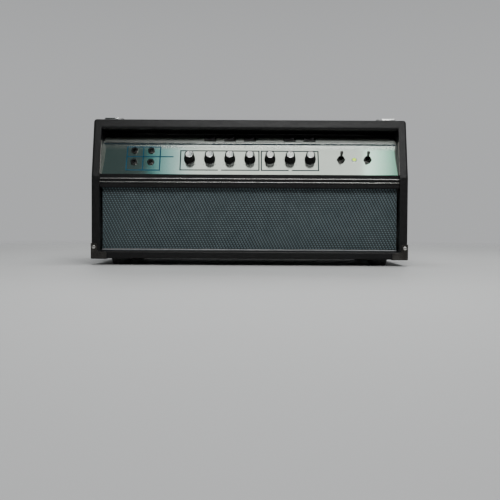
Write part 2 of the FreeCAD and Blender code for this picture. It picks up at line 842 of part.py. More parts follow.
def panel_nuts():
    """One kind of hexagon nut for the potentiometers and the jacks, front and rear."""
    places = [on_panel(x, D["control_row"]) for x in KNOB_X]
    places += [on_panel(x, up) for x in JACK_X for up in JACK_UP]
    places += [facing(x, D["power_back"], REAR_ROW, *TO_REAR) for x in (*SPEAKER_X, SELECTOR_X)]
    nuts = [hex_nut("nut_flats", "nut_thick", "bushing_radius", place) for place in places]
    finish(group(nuts), "panel_nuts")


def jack(place):
    """Jack socket: a square body behind the sheet and a hollow bushing through it."""
    body = box("jack_body_side", "jack_body_side", "jack_body_depth", Vector(0, 0, 0))
    half = D["jack_body_side"] / 2
    behind = -D["panel_sheet"] - D["jack_body_depth"]
    body.Placement.Base = Vector(-half, -half, behind)
    bushing = cylinder("bushing_radius", "panel_sheet + nut_thick", Placement())
    bushing.Placement.Base = Vector(0, 0, -D["panel_sheet"])
    rim_low = Vector(0, 0, D["nut_thick"])
    rim = cylinder("jack_rim_radius", "0.9", Placement(rim_low, Rotation()))
    bore = cylinder("jack_bore_radius", "30", Placement())
    bore.Placement.Base = Vector(0, 0, behind + 3)
    return put(cut(fuse([body, bushing, rim]), bore), place)


def jacks():
    inputs = [jack(on_panel(x, up)) for x in JACK_X for up in JACK_UP]
    finish(group(inputs), "input_jacks")
    outputs = [jack(facing(x, D["power_back"], REAR_ROW, *TO_REAR)) for x in SPEAKER_X]
    finish(group(outputs), "speaker_jacks")


def toggle_switches():
    """Toggle switch bodies and nuts, each with a lever that pivots inside its bushing."""
    bodies = []
    nuts = []
    for index, x in enumerate(TOGGLE_X, start=1):
        place = on_panel(x, D["control_row"])
        case = box("18", "30", "20", Vector(-9, -15, -D["panel_sheet"] - 20))
        bushing = cylinder("toggle_bushing_radius", "toggle_bushing_height + panel_sheet", Placement())
        bushing.Placement.Base = Vector(0, 0, -D["panel_sheet"])
        throat = doc.addObject("Part::Cone", "throat")
        bind(throat, Radius1="3.6", Radius2="toggle_bushing_radius - 0.9", Height="toggle_bushing_height")
        throat.Placement.Base = Vector(0, 0, 0.05)
        pocket = cylinder("4.2", "8", Placement(Vector(0, 0, -7), Rotation()))
        bodies.append(put(cut(fuse([case, bushing]), group([throat, pocket])), place))
        nuts.append(hex_nut("toggle_nut_flats", "toggle_nut_thick", "toggle_bushing_radius", place))
        lever = lathe("lever", [
            ("0", "-4.5"), ("1.6", "-4.5"), ("1.6", "1.5"), ("1.9", "4"), ("3.1", "toggle_lever_length + 5"),
            ("2.2", "toggle_lever_length + 7"), ("0", "toggle_lever_length + 7.5"),
        ])
        raised = Placement(Vector(0, 0, 0), Rotation(Vector(1, 0, 0), -D["toggle_rest_angle"]))
        finish(put(lever, place * raised), f"toggle_lever_{index}")
    finish(group(bodies), "toggle_bodies")
    finish(group(nuts), "toggle_nuts")


def pilot_lamp():
    """Small lamp: a bright bezel through the panel and a domed lens in it."""
    place = on_panel(LAMP_X, D["control_row"])
    bezel = lathe("bezel", [
        ("lamp_lens_radius", "-8"), ("lamp_radius - 0.6", "-8"), ("lamp_radius - 0.6", "0"),
        ("lamp_radius + 0.4", "0"), ("lamp_radius - 0.2", "lamp_height * 0.5"),
        ("lamp_lens_radius", "lamp_height * 0.5"),
    ])
    finish(put(bezel, place), "pilot_bezel")
    lens = lathe("lens", [
        ("0", "-7"), ("lamp_lens_radius", "-7"), ("lamp_lens_radius", "lamp_height * 0.5"),
        ("lamp_lens_radius * 0.75", "lamp_height * 0.85"), ("0", "lamp_height"),
    ])
    finish(put(lens, place), "pilot_lens")


def rocker_switches():
    """Rocker switches along the shelf, each a frame and a paddle that tilts end to end."""
    frames = []
    for index, x in enumerate(ROCKER_X, start=1):
        bezel = rocker_block("rocker_long", "rocker_wide", "rocker_bezel", x, 0)
        case = rocker_block("rocker_long - 2.2", "rocker_wide - 2.2", "16", x, -16)
        window = rocker_block("rocker_window_long", "rocker_window_wide", "20", x, -10)
        frames.append(cut(fuse([bezel, case]), window))
        paddle = prism("paddle", "XZ_Plane", [[
            ("-paddle_reach", "paddle_high"), ("0", "paddle_waist"), ("paddle_reach", "paddle_high"),
            ("paddle_foot", "-paddle_deep / 3"), ("paddle_keel", "-paddle_deep"),
            ("-paddle_keel", "-paddle_deep"), ("-paddle_foot", "-paddle_deep / 3"),
        ]], "rocker_paddle_wide")
        tilted = Placement(Vector(0, 0, 0), Rotation(Vector(0, 1, 0), -D["rocker_rest_angle"]))
        finish(put(paddle, on_shelf(x, ROCKER_UP) * tilted), f"rocker_paddle_{index}")
    finish(group(frames), "rocker_frames")


# Chassis and electronics

def preamp_chassis():
    """Open steel tray behind the control panel; its tall back wall carries the small valves."""
    low = D["rail_top"] + D["panel_sheet"]
    wide = "cab_width - 2 * side_thick - 0.6"
    corner = Vector(-INNER_HALF + 0.3, D["rail_back"], low)
    outer = box(wide, "preamp_back - rail_back", "preamp_back_top - rail_top - panel_sheet", corner)
    floor = low + D["chassis_sheet"]
    inner = box(
        f"{wide} - 2 * chassis_sheet", "preamp_back - rail_back - chassis_sheet", "cab_top",
        corner + Vector(D["chassis_sheet"], 0, D["chassis_sheet"]),
    )
    front = box("cab_width", "preamp_side_front", "cab_top", Vector(-HALF_WIDTH, 0, floor))
    above = box(
        "cab_width", "preamp_back - chassis_sheet", "cab_top", Vector(-HALF_WIDTH, 0, D["preamp_top"]),
    )
    holes = [
        hole_tool("small_valve_radius - 0.5", facing(x, D["preamp_back"], SMALL_VALVE_HEIGHT, *TO_REAR))
        for x in SMALL_VALVE_X
    ]
    finish(cut(outer, group([inner, front, above, *holes])), "preamp_chassis")


def preamp_board():
    """Circuit board on the tray, and the resistors and capacitors that stand on it."""
    floor = D["rail_top"] + D["panel_sheet"] + D["chassis_sheet"]
    lift = D["board_lift"]
    corner = Vector(-D["board_long"] / 2, D["board_front"], floor + lift)
    board = box("board_long", "board_deep", "board_thick", corner)
    posts = [cylinder("3", "board_lift", at(x, depth, floor)) for x in (-240, 0, 240) for depth in (66, 110)]
    finish(fuse([board, *posts]), "preamp_board")
    parts = []
    top = floor + lift + D["board_thick"]
    for index in range(16):
        x = -232 + 31 * index
        radius, tall = ("4.5", "14") if index % 3 == 0 else ("2", "9")
        parts.append(cylinder(radius, tall, at(x, 78, top)))
        parts.append(cylinder("2", "11", facing(x + 4, 100, top + 2, *TO_RIGHT)))
    finish(group(parts), "board_components")


def bulb(radius, foot_radius, stations, tip):
    """Hollow glass bulb, open where its base closes it. A station is a share of the radius and a height."""
    outside = [(f"{radius} * {share}" if share else foot_radius, height) for share, height in stations]
    inside = [(f"{across} - glass_thick", height) for across, height in outside[:-1]]
    across, height = outside[-1]
    inside += [(f"{across} - glass_thick / 2", f"{height} - glass_thick"), ("0", f"{tip} - glass_thick")]
    return lathe("bulb", [*outside, ("0", tip), *reversed(inside)])


def small_valves():
    """Small valves lying out of the preamp chassis. Returns their sockets."""
    glass = []
    sockets = []
    for x in SMALL_VALVE_X:
        place = facing(x, D["preamp_back"], SMALL_VALVE_HEIGHT, *TO_REAR)
        glass.append(put(bulb("small_valve_radius", "small_valve_radius - 1", [
            (0, "5.5"), (1, "8"), (1, "small_valve_length - 6"),
            (0.6, "small_valve_length"), (0.2, "small_valve_length + 2"),
        ], "small_valve_length + 5"), place))
        sockets.append(put(lathe("small_socket", [
            ("0", "-10"), ("small_valve_radius - 0.7", "-10"), ("small_valve_radius - 0.7", "0"),
            ("small_valve_radius + 1.5", "0"), ("small_valve_radius + 1.5", "2.5"),
            ("small_valve_radius - 0.8", "5"), ("0", "5"),
        ]), place))
    finish(group(glass), "preamp_valves")
    return sockets


def power_chassis():
    """Inverted steel tray on the bottom panel, open below."""
    sheet_thick = D["chassis_sheet"]
    corner = Vector(-D["power_half_width"], D["power_front"], BOTTOM_TOP)
    height = "power_top - foot_height - bottom_thick"
    outer = box("2 * power_half_width", "power_back - power_front", height, corner)
    inner = box(
        "2 * (power_half_width - chassis_sheet)", "power_back - power_front - 2 * chassis_sheet",
        f"{height} - chassis_sheet", corner + Vector(sheet_thick, sheet_thick, 0),
    )
    holes = [
        hole_tool("valve_base_radius - 2", at(x, depth, D["power_top"]))
        for x in VALVE_X for depth in VALVE_DEPTH
    ]
    holes += [
        hole_tool("bushing_radius + 0.1", facing(x, D["power_back"], REAR_ROW, *TO_REAR))
        for x in (*SPEAKER_X, SELECTOR_X)
    ]
    holes.append(hole_tool("6.2", facing(FUSE_X, D["power_back"], REAR_ROW, *TO_REAR)))
    holes += [hole_tool("bolt_radius + 0.2", place) for place in transformer_screw_places()]
    holes.append(box("28", "10", "21", Vector(INLET_X - 14, D["power_back"] - 5, REAR_ROW - 10.5)))
    finish(cut(outer, group([inner, *holes])), "power_chassis")


def transformer(label, spot):
    """Laminated core with a tapered end bell on each side."""
    half_core = D[label + "_long"] * D["core_share"] / 2
    tall, deep = D[label + "_tall"], D[label + "_deep"]
    corner = spot - Vector(half_core, deep / 2, 0)
    core = box(f"{label}_long * core_share", f"{label}_deep", f"{label}_tall", corner)
    bells = []
    for sign in (-1, 1):
        bell = doc.addObject("Part::Wedge", "bell")
        half_deep = f"{label}_deep / 2"
        half_tall = f"{label}_tall / 2"
        bind(bell, Xmin=f"-{half_deep}", Xmax=half_deep, Zmin=f"-{half_tall}", Zmax=half_tall)
        bind(bell, X2min=f"-{half_deep} * bell_taper", X2max=f"{half_deep} * bell_taper")
        bind(bell, Z2min=f"-{half_tall} * bell_taper", Z2max=f"{half_tall} * bell_taper")
        bind(bell, Ymin="0", Ymax=f"{label}_long * (1 - core_share) / 2")
        start = spot + Vector(sign * half_core, 0, tall / 2)
        bell.Placement = Placement(start, Rotation(Vector(0, 0, 1), -90 * sign))
        bells.append(bell)
    finish(group([core, *bells]), label)


def power_valves():
    """Large output valves: moulded bases and tall glass bulbs. Returns their sockets."""
    glass = []
    bases = []
    sockets = []
    for x in VALVE_X:
        for depth in VALVE_DEPTH:
            place = at(x, depth, D["power_top"])
            sockets.append(put(lathe("socket", [
                ("0", "-12"), ("valve_base_radius - 2.2", "-12"), ("valve_base_radius - 2.2", "0"),
                ("valve_base_radius + 3", "0"), ("valve_base_radius + 3", "3"), ("0", "3"),
            ]), place))
            bases.append(put(lathe("base", [
                ("0", "3.2"), ("valve_base_radius - 1", "3.2"), ("valve_base_radius - 1", "14"),
                ("valve_base_radius + 2", "17"), ("valve_base_radius + 2", "26"), ("0", "26"),
            ]), place))
            glass.append(put(bulb("valve_radius", "valve_base_radius", [
                (0, "26.2"), (1, "40"), (1, "92"), (0.8, "102"), (0.35, "107"),
            ], "108"), place))
    finish(group(glass), "power_valve_bulbs")
    finish(group(bases), "power_valve_bases")
    return sockets


def filter_capacitors():
    cans = []
    for x in CAN_X:
        can = lathe("can", [
            ("0", "0"), ("can_radius", "0"), ("can_radius", "can_height - 2"),
            ("can_radius - 1.5", "can_height"), ("0", "can_height"),
        ])
        cans.append(put(can, at(x, CAN_DEPTH, D["power_top"])))
    finish(group(cans), "filter_capacitors")


def fan():
    """Axial fan inside the rear vent: a square frame with a bore and a hub, and a bladed impeller."""
    half = D["fan_side"] / 2
    front = D["vent_front"] - D["fan_depth"]
    shell = box("fan_side", "fan_depth", "fan_side", Vector(-half, front, D["fan_height"] - half))
    middle = facing(0, front, D["fan_height"], *TO_REAR)
    bore = cylinder("fan_bore_radius", "fan_depth + 2", middle * Placement(Vector(0, 0, -1), Rotation()))
    motor = cylinder("fan_hub_radius - 2", "4", middle * Placement(Vector(0, 0, 0), Rotation()))
    pin_place = middle * Placement(Vector(0, 0, 3.5), Rotation())
    pin = cylinder("2", "12", pin_place)
    spokes = []
    for angle in (30, 150, 270):
        spoke = box("fan_bore_radius + 0.5", "5", "3", Vector(0, 0, 0))
        turn = Placement(Vector(0, 0, 0), Rotation(Vector(0, 0, 1), angle))
        spokes.append(put(spoke, middle * turn * Placement(Vector(0, -2.5, 0), Rotation())))
    holes = [hole_tool("bolt_radius + 0.2", place) for place in fan_screw_places()]
    finish(fuse([cut(shell, group([bore, *holes])), motor, pin, *spokes]), "fan_frame")
    hub = lathe("hub", [
        ("2.06", "5"), ("fan_hub_radius", "5"), ("fan_hub_radius", "22"), ("2.06", "22"),
    ])
    blades = []
    for index in range(7):
        blade = box("fan_blade_radius - fan_hub_radius + 1", "16", "2", Vector(0, 0, 0))
        pitch = Placement(Vector(D["fan_hub_radius"] - 1, 0, 13.5), Rotation(Vector(1, 0, 0), 38))
        spin = Placement(Vector(0, 0, 0), Rotation(Vector(0, 0, 1), index * 360 / 7))
        blades.append(put(blade, spin * pitch * Placement(Vector(0, -8, -1), Rotation())))
    finish(put(fuse([hub, *blades]), middle), "fan_impeller")


# Rear

def vent_screw_places():
    depth = D["vent_front"] + D["vent_sheet"]
    high = D["cab_top"] - D["top_thick"] - 7
    low = D["vent_low"] + 8
    ends = [sign * (INNER_HALF - D["batten_wide"] / 2) for sign in (-1, 1)]
    places = [facing(x, depth, z, *TO_REAR) for x in ends for z in (low, (low + high) / 2, high)]
    return places + [facing(x, depth, high, *TO_REAR) for x in (-95, 95)]


def rear_vent():
    """Slotted steel plate that closes the back above the chassis, on battens inside the cabinet."""
    half = "cab_width / 2 - side_thick - 0.5"
    top = "cab_top - top_thick - 0.5"
    body = new_body("rear_vent")
    sketch = sketch_on(body, "XZ_Plane")
    draw_outline(sketch, rectangle(f"-({half})", "vent_low", half, top))
    pad = body.newObject("PartDesign::Pad", "pad")
    pad.Profile = sketch
    pad.SideType = "Symmetric"
    bind(pad, Length="vent_sheet")
    slot_sketch = sketch_on(body, "XZ_Plane", "slot")
    low = "vent_low + 14"
    left = "-12.5 * slot_pitch_x - slot_wide / 2"
    draw_outline(slot_sketch, rectangle(left, low, f"{left} + slot_wide", f"{low} + slot_tall"))
    slot = body.newObject("PartDesign::Pocket", "slot_cut")
    slot.Profile = slot_sketch
    slot.SideType = "Symmetric"
    bind(slot, Length="vent_sheet * 3")
    doc.recompute()
    rows = doc.addObject("PartDesign::LinearPattern", "rows")
    rows.Direction = (slot_sketch, ["V_Axis"])
    bind(rows, Length="2 * slot_pitch_z")
    rows.Occurrences = 3
    columns = doc.addObject("PartDesign::LinearPattern", "columns")
    columns.Direction = (slot_sketch, ["H_Axis"])
    bind(columns, Length="25 * slot_pitch_x")
    columns.Occurrences = 26
    slots = body.newObject("PartDesign::MultiTransform", "slots")
    slots.Originals = [slot]
    slots.Transformations = [rows, columns]
    body.Tip = slots
    put(body, at(0, D["vent_front"] + D["vent_sheet"] / 2, 0))
    holes = [hole_tool("screw_shank_radius + 0.2", place) for place in vent_screw_places()]
    holes += [hole_tool("bolt_radius + 0.2", place) for place in fan_screw_places()]
    finish(cut(body, group(holes)), "rear_vent")


def vent_battens():
    """Wooden battens that the rear vent is screwed to."""
    tall = D["cab_top"] - D["top_thick"] - D["vent_low"]
    battens = []
    wide, deep = D["batten_wide"], D["batten_deep"]
    front = D["vent_front"] - deep
    for left in (-INNER_HALF, INNER_HALF - wide):
        battens.append(box("batten_wide", "batten_deep", str(tall), Vector(left, front, D["vent_low"])))
    corner = Vector(-INNER_HALF + wide, front, D["cab_top"] - D["top_thick"] - deep)
    battens.append(box("cab_width - 2 * (side_thick + batten_wide)", "batten_deep", "batten_deep", corner))
    finish(group(battens), "vent_battens")


def mains_inlet():
    """Three-pin appliance inlet: a moulded cup with a flange, and its blades."""
    back = D["power_back"]
    long, tall = D["inlet_recess_long"], D["inlet_recess_tall"]
    flange = box("50", "2.5", "23", Vector(INLET_X - 25, back, REAR_ROW - 11.5))
    cup_corner = Vector(INLET_X - long / 2 - 1.7, back - 17, REAR_ROW - tall / 2 - 1.9)
    cup = box("inlet_recess_long + 3.4", "17", "inlet_recess_tall + 3.8", cup_corner)
    recess_corner = Vector(INLET_X - long / 2, back - 14, REAR_ROW - tall / 2)
    recess = box("inlet_recess_long", "17", "inlet_recess_tall", recess_corner)
    blades = []
    for x, z in ((-7, -2.5), (7, -2.5), (0, 2.5)):
        blades.append(box("4", "14", "2", Vector(INLET_X + x - 2, back - 14, REAR_ROW + z - 4)))
    finish(group([cut(fuse([flange, cup]), recess), *blades]), "mains_inlet")


def fuse_holder():
    place = facing(FUSE_X, D["power_back"], REAR_ROW, *TO_REAR)
    holder = lathe("fuse", [
        ("0", "-30"), ("6", "-30"), ("6", "0"), ("8.5", "0"), ("8.5", "2"),
        ("7", "2.4"), ("6.6", "9"), ("5.6", "10"), ("0", "10"),
    ])
    finish(put(holder, place), "fuse_holder")


def selector():
    """Rotary speaker-impedance switch on the rear, with a knob that turns it."""
    place = facing(SELECTOR_X, D["power_back"], REAR_ROW, *TO_REAR)
    bore = "shaft_radius + shaft_clearance"
    switch = lathe("switch", [
        ("0", "-20"), ("15", "-20"), ("15", "-panel_sheet"), ("bushing_radius", "-panel_sheet"),
        ("bushing_radius", "5"), (bore, "5"), (bore, "-4"), ("0", "-4"),
    ])
    finish(put(switch, place), "selector_switch")
    dial = lathe("dial", [
        ("7.8", "0.6"), ("10.5", "0.6"), ("9.6", "12"), ("0", "12"), ("0", "11"), ("shaft_radius", "11"),
        ("shaft_radius", "5.6"), ("7.8", "5.6"),
    ])
    shaft = lathe("selector_shaft", [
        ("0", "-3.5"), ("shaft_radius", "-3.5"), ("shaft_radius", "11"), ("0", "11"),
    ])
    finish(put(group([dial, shaft]), place), "selector_knob")


def fan_screw_places():
    """Seats of the four screws through the rear vent into the fan's frame."""
    half = D["fan_side"] / 2 - 7
    behind = D["vent_front"] + D["vent_sheet"]
    return [
        facing(x, behind, D["fan_height"] + z, *TO_REAR) for x in (-half, half) for z in (-half, half)
    ]


def transformer_screw_places():
    """Seats of the screws through the chassis, before and behind each transformer."""
    places = []
    for label, spot in TRANSFORMERS.items():
        reach = D[label + "_deep"] / 2 + 6
        places += [at(spot.x, spot.y + sign * reach, D["power_top"]) for sign in (-1, 1)]
    return places


def machine_screws():
    """One kind of machine screw for the fan and the transformers."""
    places = fan_screw_places() + transformer_screw_places()
    sizes = ("screw_head_radius", "screw_head_tall", "bolt_radius", "bolt_length")
    finish(group([screw(*sizes, place) for place in places]), "machine_screws")


def build():
    fill_sheet()
    side_panel("side_panel_left", -1)
    side_panel("side_panel_right", 1)
    top_panel()
    bottom_panel()
    front_rail()
    trim_strips()
    grille()
    corner_guards()
    wood_screws()
    rubber_feet()
    handle_end_caps()
    handle_straps()
    control_panel()
    panel_cheeks()
    potentiometers()
    for index, x in enumerate(KNOB_X, start=1):
        knob(index, x)
    panel_nuts()
    jacks()
    toggle_switches()
    pilot_lamp()
    rocker_switches()
    preamp_chassis()
    preamp_board()
    power_chassis()
    for label, spot in TRANSFORMERS.items():
        transformer(label, spot)
    finish(group(small_valves() + power_valves()), "valve_sockets")
    filter_capacitors()
    fan()
    rear_vent()
    vent_battens()
    mains_inlet()
    fuse_holder()
    selector()
    machine_screws()
    doc.recompute()


def check_and_write():
    """Refuse a failed feature or a broken solid, then write one file per sub-part."""
    for thing in doc.Objects:
        if {"Invalid", "Error"} & set(thing.State):
            raise RuntimeError(f"{thing.Name} ({thing.Label}) failed: {thing.State}")
    os.makedirs("parts", exist_ok=True)
    for node in nodes:
        shape = node.Shape
        if shape.isNull() or not shape.isValid() or not shape.Solids:
            raise RuntimeError(f"{node.Label} has no valid solid")
        shape.exportStep(f"parts/{node.Label}.step")
    print(len(nodes), "sub-parts written")


build()
check_and_write()
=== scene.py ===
"""Looks of a valve guitar amplifier head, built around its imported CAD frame. Units are metres."""
import bmesh
import bpy
import json
import math
import numpy as np
from mathutils import Matrix, Vector


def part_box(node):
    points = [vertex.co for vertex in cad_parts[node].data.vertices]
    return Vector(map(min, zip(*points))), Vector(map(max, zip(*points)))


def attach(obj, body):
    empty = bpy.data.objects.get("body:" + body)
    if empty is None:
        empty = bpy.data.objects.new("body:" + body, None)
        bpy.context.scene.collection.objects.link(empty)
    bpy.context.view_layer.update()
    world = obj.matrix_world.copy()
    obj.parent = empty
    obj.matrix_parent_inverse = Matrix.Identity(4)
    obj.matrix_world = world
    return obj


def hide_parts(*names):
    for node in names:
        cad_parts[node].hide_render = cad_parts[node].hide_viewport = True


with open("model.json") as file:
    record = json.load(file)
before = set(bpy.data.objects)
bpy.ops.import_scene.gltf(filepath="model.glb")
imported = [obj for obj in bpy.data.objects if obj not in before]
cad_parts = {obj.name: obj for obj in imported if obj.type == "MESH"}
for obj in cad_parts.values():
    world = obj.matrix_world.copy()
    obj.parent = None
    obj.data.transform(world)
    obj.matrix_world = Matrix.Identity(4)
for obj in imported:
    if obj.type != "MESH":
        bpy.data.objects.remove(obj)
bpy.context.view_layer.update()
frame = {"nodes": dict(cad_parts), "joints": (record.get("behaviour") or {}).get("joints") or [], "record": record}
NODES = frame["nodes"]
BODY_OF = {node: body for body, nodes in frame["record"]["behaviour"]["bodies"].items() for node in nodes}
JOINTS = {joint["name"]: joint for joint in frame["joints"]}
MM = 0.001
CABINET = "cabinet"
SHELF_RISE = 10.9 * MM
FOLD_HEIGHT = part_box("control_panel")[1].z - SHELF_RISE


# Materials

def material(name, colour, rough, metal=0.0, **sockets):
    """A Principled material. Further shader sockets are given with _ for a space."""
    made = bpy.data.materials.new(name)
    made.use_nodes = True
    shader = made.node_tree.nodes["Principled BSDF"]
    shader.inputs["Base Color"].default_value = (*colour, 1)
    shader.inputs["Roughness"].default_value = rough
    shader.inputs["Metallic"].default_value = metal
    for socket, value in sockets.items():
        shader.inputs[socket.replace("_", " ")].default_value = value
    return made


def node(made, kind, inputs=(), **settings):
    """Add a node. Inputs pairs a socket's name or number with a value or another node's output."""
    added = made.node_tree.nodes.new("ShaderNode" + kind)
    for name, value in settings.items():
        setattr(added, name, value)
    for socket, value in dict(inputs).items():
        if isinstance(value, bpy.types.NodeSocket):
            made.node_tree.links.new(value, added.inputs[socket])
        else:
            added.inputs[socket].default_value = value
    return added


def place_in(made, stretch=(1, 1, 1)):
    """The piece's own coordinates in metres, stretched."""
    source = node(made, "TexCoord").outputs["Object"]
    return node(made, "Mapping", {"Vector": source, "Scale": stretch}).outputs["Vector"]


def grain(made, size, detail=3.0, stretch=(1, 1, 1)):
    """Cloudy noise whose clouds are about size metres across."""
    inputs = {"Vector": place_in(made, stretch), "Scale": 1 / size, "Detail": detail}
    return node(made, "TexNoise", inputs).outputs["Fac"]


def pebbles(made, size, feature="F1"):
    inputs = {"Vector": place_in(made), "Scale": 1 / size}
    return node(made, "TexVoronoi", inputs, feature=feature).outputs["Distance"]


def between(made, factor, low, high, start=0.3, end=0.7):
    """Map the factor's middle range to a range of values."""
    inputs = {"Value": factor, "From Min": start, "From Max": end, "To Min": low, "To Max": high}
    return node(made, "MapRange", inputs).outputs["Result"]


def blend_colours(made, factor, first, second):
    mixed = node(made, "Mix", {0: factor}, data_type="RGBA")
    for socket, value in ((mixed.inputs[6], first), (mixed.inputs[7], second)):
        if isinstance(value, bpy.types.NodeSocket):
            made.node_tree.links.new(value, socket)
        else:
            socket.default_value = (*value, 1)
    return mixed.outputs[2]


def math_node(made, operation, *values):
    return node(made, "Math", dict(enumerate(values)), operation=operation).outputs[0]


def drive(made, socket, output):
    made.node_tree.links.new(output, made.node_tree.nodes["Principled BSDF"].inputs[socket])


def emboss(made, height, depth, strength=1.0):
    """Bump of that depth in metres, added over any bump that is already there."""
    shader = made.node_tree.nodes["Principled BSDF"]
    bump = node(made, "Bump", {"Height": height, "Distance": depth, "Strength": strength})
    if shader.inputs["Normal"].links:
        made.node_tree.links.new(shader.inputs["Normal"].links[0].from_socket, bump.inputs["Normal"])
    made.node_tree.links.new(bump.outputs["Normal"], shader.inputs["Normal"])


def worn(name, colour, second, rough, metal=0.0, size=0.02, depth=0.00003, **sockets):
    """A finish whose colour and roughness drift a little, with fine bump: most hard surfaces."""
    made = material(name, colour, rough, metal, **sockets)
    clouds = grain(made, size, 5.0)
    drive(made, "Base Color", blend_colours(made, between(made, clouds, 0, 1), colour, second))
    drive(made, "Roughness", between(made, grain(made, size / 6, 4.0), rough * 0.8, rough * 1.25))
    emboss(made, grain(made, size / 25, 2.0), depth)
    return made


def vinyl():
    """Black covering cloth backed vinyl: an even pebbled grain with softer mottling under it."""
    made = material("black_vinyl", (0.006, 0.006, 0.0066), 0.45, Specular_IOR_Level=0.3)
    mottle = grain(made, 0.0042, 4.0)
    drive(made, "Base Color", blend_colours(
        made, between(made, mottle, 0, 1), (0.0025, 0.0025, 0.0028), (0.006, 0.006, 0.0066)))
    drive(made, "Roughness", between(made, mottle, 0.36, 0.52))
    emboss(made, mottle, 0.00035, 0.7)
    emboss(made, pebbles(made, 0.0013, "SMOOTH_F1"), 0.0003, 0.8)
    return made


def panel_metal():
    """Aluminium brushed along the panel, so that it blurs reflections up and down.

    It is duller on its shelf and just below its fold.
    """
    made = material("panel_aluminium", (0.86, 0.88, 0.86), 0.25, 1.0, Anisotropic=0.9)
    across = node(made, "Tangent", direction_type="RADIAL", axis="X").outputs["Tangent"]
    drive(made, "Tangent", across)
    lines = grain(made, 0.0012, 3.0, (0.02, 1, 1))
    haze = grain(made, 0.05, 4.0)
    drive(made, "Base Color", blend_colours(
        made, between(made, haze, 0, 1), (0.78, 0.845, 0.79), (0.85, 0.9, 0.84)))
    height = node(made, "SeparateXYZ", {0: node(made, "TexCoord").outputs["Object"]}).outputs["Z"]
    shelf = between(made, height, 0, 0.12, FOLD_HEIGHT, FOLD_HEIGHT + 1 * MM)
    below_fold = between(made, height, 0, 0.14, FOLD_HEIGHT - 17 * MM, FOLD_HEIGHT - 9 * MM)
    dull = math_node(made, "ADD", shelf, below_fold)
    drive(made, "Roughness", math_node(made, "ADD", between(made, lines, 0.09, 0.14), dull))
    emboss(made, lines, 0.000004, 0.4)
    return made


def cloth():
    """Woven cloth: pale blue-grey flat yarn over dark cord, told apart by how high the weave stands; the near
    black of the low parts is also painted shade in the hollows of the weave.
    """
    made = material("grille_cloth", (0.1, 0.14, 0.155), 0.62, Sheen_Weight=0.25, Sheen_Roughness=0.4)
    high = node(made, "Attribute", attribute_name="weave").outputs["Fac"]
    yarn = blend_colours(
        made, between(made, grain(made, 0.02, 4.0), 0, 1), (0.085, 0.135, 0.15), (0.125, 0.18, 0.195))
    lit = between(made, high, 0, 1, 0.25, 0.8)
    # Low parts of the weave go near black: dark cord, with painted shade in the hollows between the yarns
    drive(made, "Base Color", blend_colours(made, lit, (0.006, 0.009, 0.011), yarn))
    emboss(made, grain(made, 0.0004, 2.0, (0.25, 1, 1)), 0.00008, 0.8)
    return made


def spun_metal():
    """Knob cap: bright aluminium with fine rings about the piece's own axis."""
    made = material("spun_aluminium", (0.88, 0.88, 0.87), 0.2, 1.0)
    apart = node(made, "SeparateXYZ", {0: node(made, "TexCoord").outputs["Object"]})
    across = math_node(made, "POWER", apart.outputs["X"], 2.0)
    up = math_node(made, "POWER", apart.outputs["Y"], 2.0)
    radius = math_node(made, "SQRT", math_node(made, "ADD", across, up))
    rings = node(made, "TexNoise", {"Scale": 2200.0, "Detail": 2.0}, noise_dimensions="1D")
    made.node_tree.links.new(radius, rings.inputs["W"])
    drive(made, "Roughness", between(made, rings.outputs["Fac"], 0.16, 0.34))
    emboss(made, rings.outputs["Fac"], 0.00003, 0.6)
    return made


def wood(name, light, dark):
    made = material(name, light, 0.62)
    fibres = grain(made, 0.004, 6.0, (0.06, 1, 1))
    drive(made, "Base Color", blend_colours(made, between(made, fibres, 0, 1), light, dark))
    emboss(made, fibres, 0.0002, 0.5)
    return made


def lamp_lens():
    """Jewel that glows yellow-green, brighter through its middle."""
    made = material("lamp_lens", (0.3, 0.5, 0.01), 0.15, Emission_Strength=1.4, Coat_Weight=0.1)
    facing = node(made, "LayerWeight", {"Blend": 0.35}).outputs["Facing"]
    drive(made, "Emission Color", blend_colours(made, facing, (0.6, 0.95, 0.03), (0.13, 0.26, 0.0)))
    emboss(made, pebbles(made, 0.0012), 0.0003, 0.6)
    return made


def glass():
    """Valve glass with a silvery getter flash in cloudy patches."""
    made = material("valve_glass", (0.95, 0.97, 0.97), 0.03, Transmission_Weight=0.9, IOR=1.47)
    drive(made, "Metallic", between(made, grain(made, 0.03, 2.0), 0, 0.5, 0.55, 0.75))
    return made


def laminated():
    """Transformer paint over a stack of thin steel sheets."""
    made = worn("transformer_paint", (0.012, 0.012, 0.013), (0.03, 0.028, 0.027), 0.38)
    sheets = node(made, "TexWave", {"Vector": place_in(made), "Scale": 300.0}, bands_direction="X")
    emboss(made, sheets.outputs["Fac"], 0.00025, 0.6)
    return made


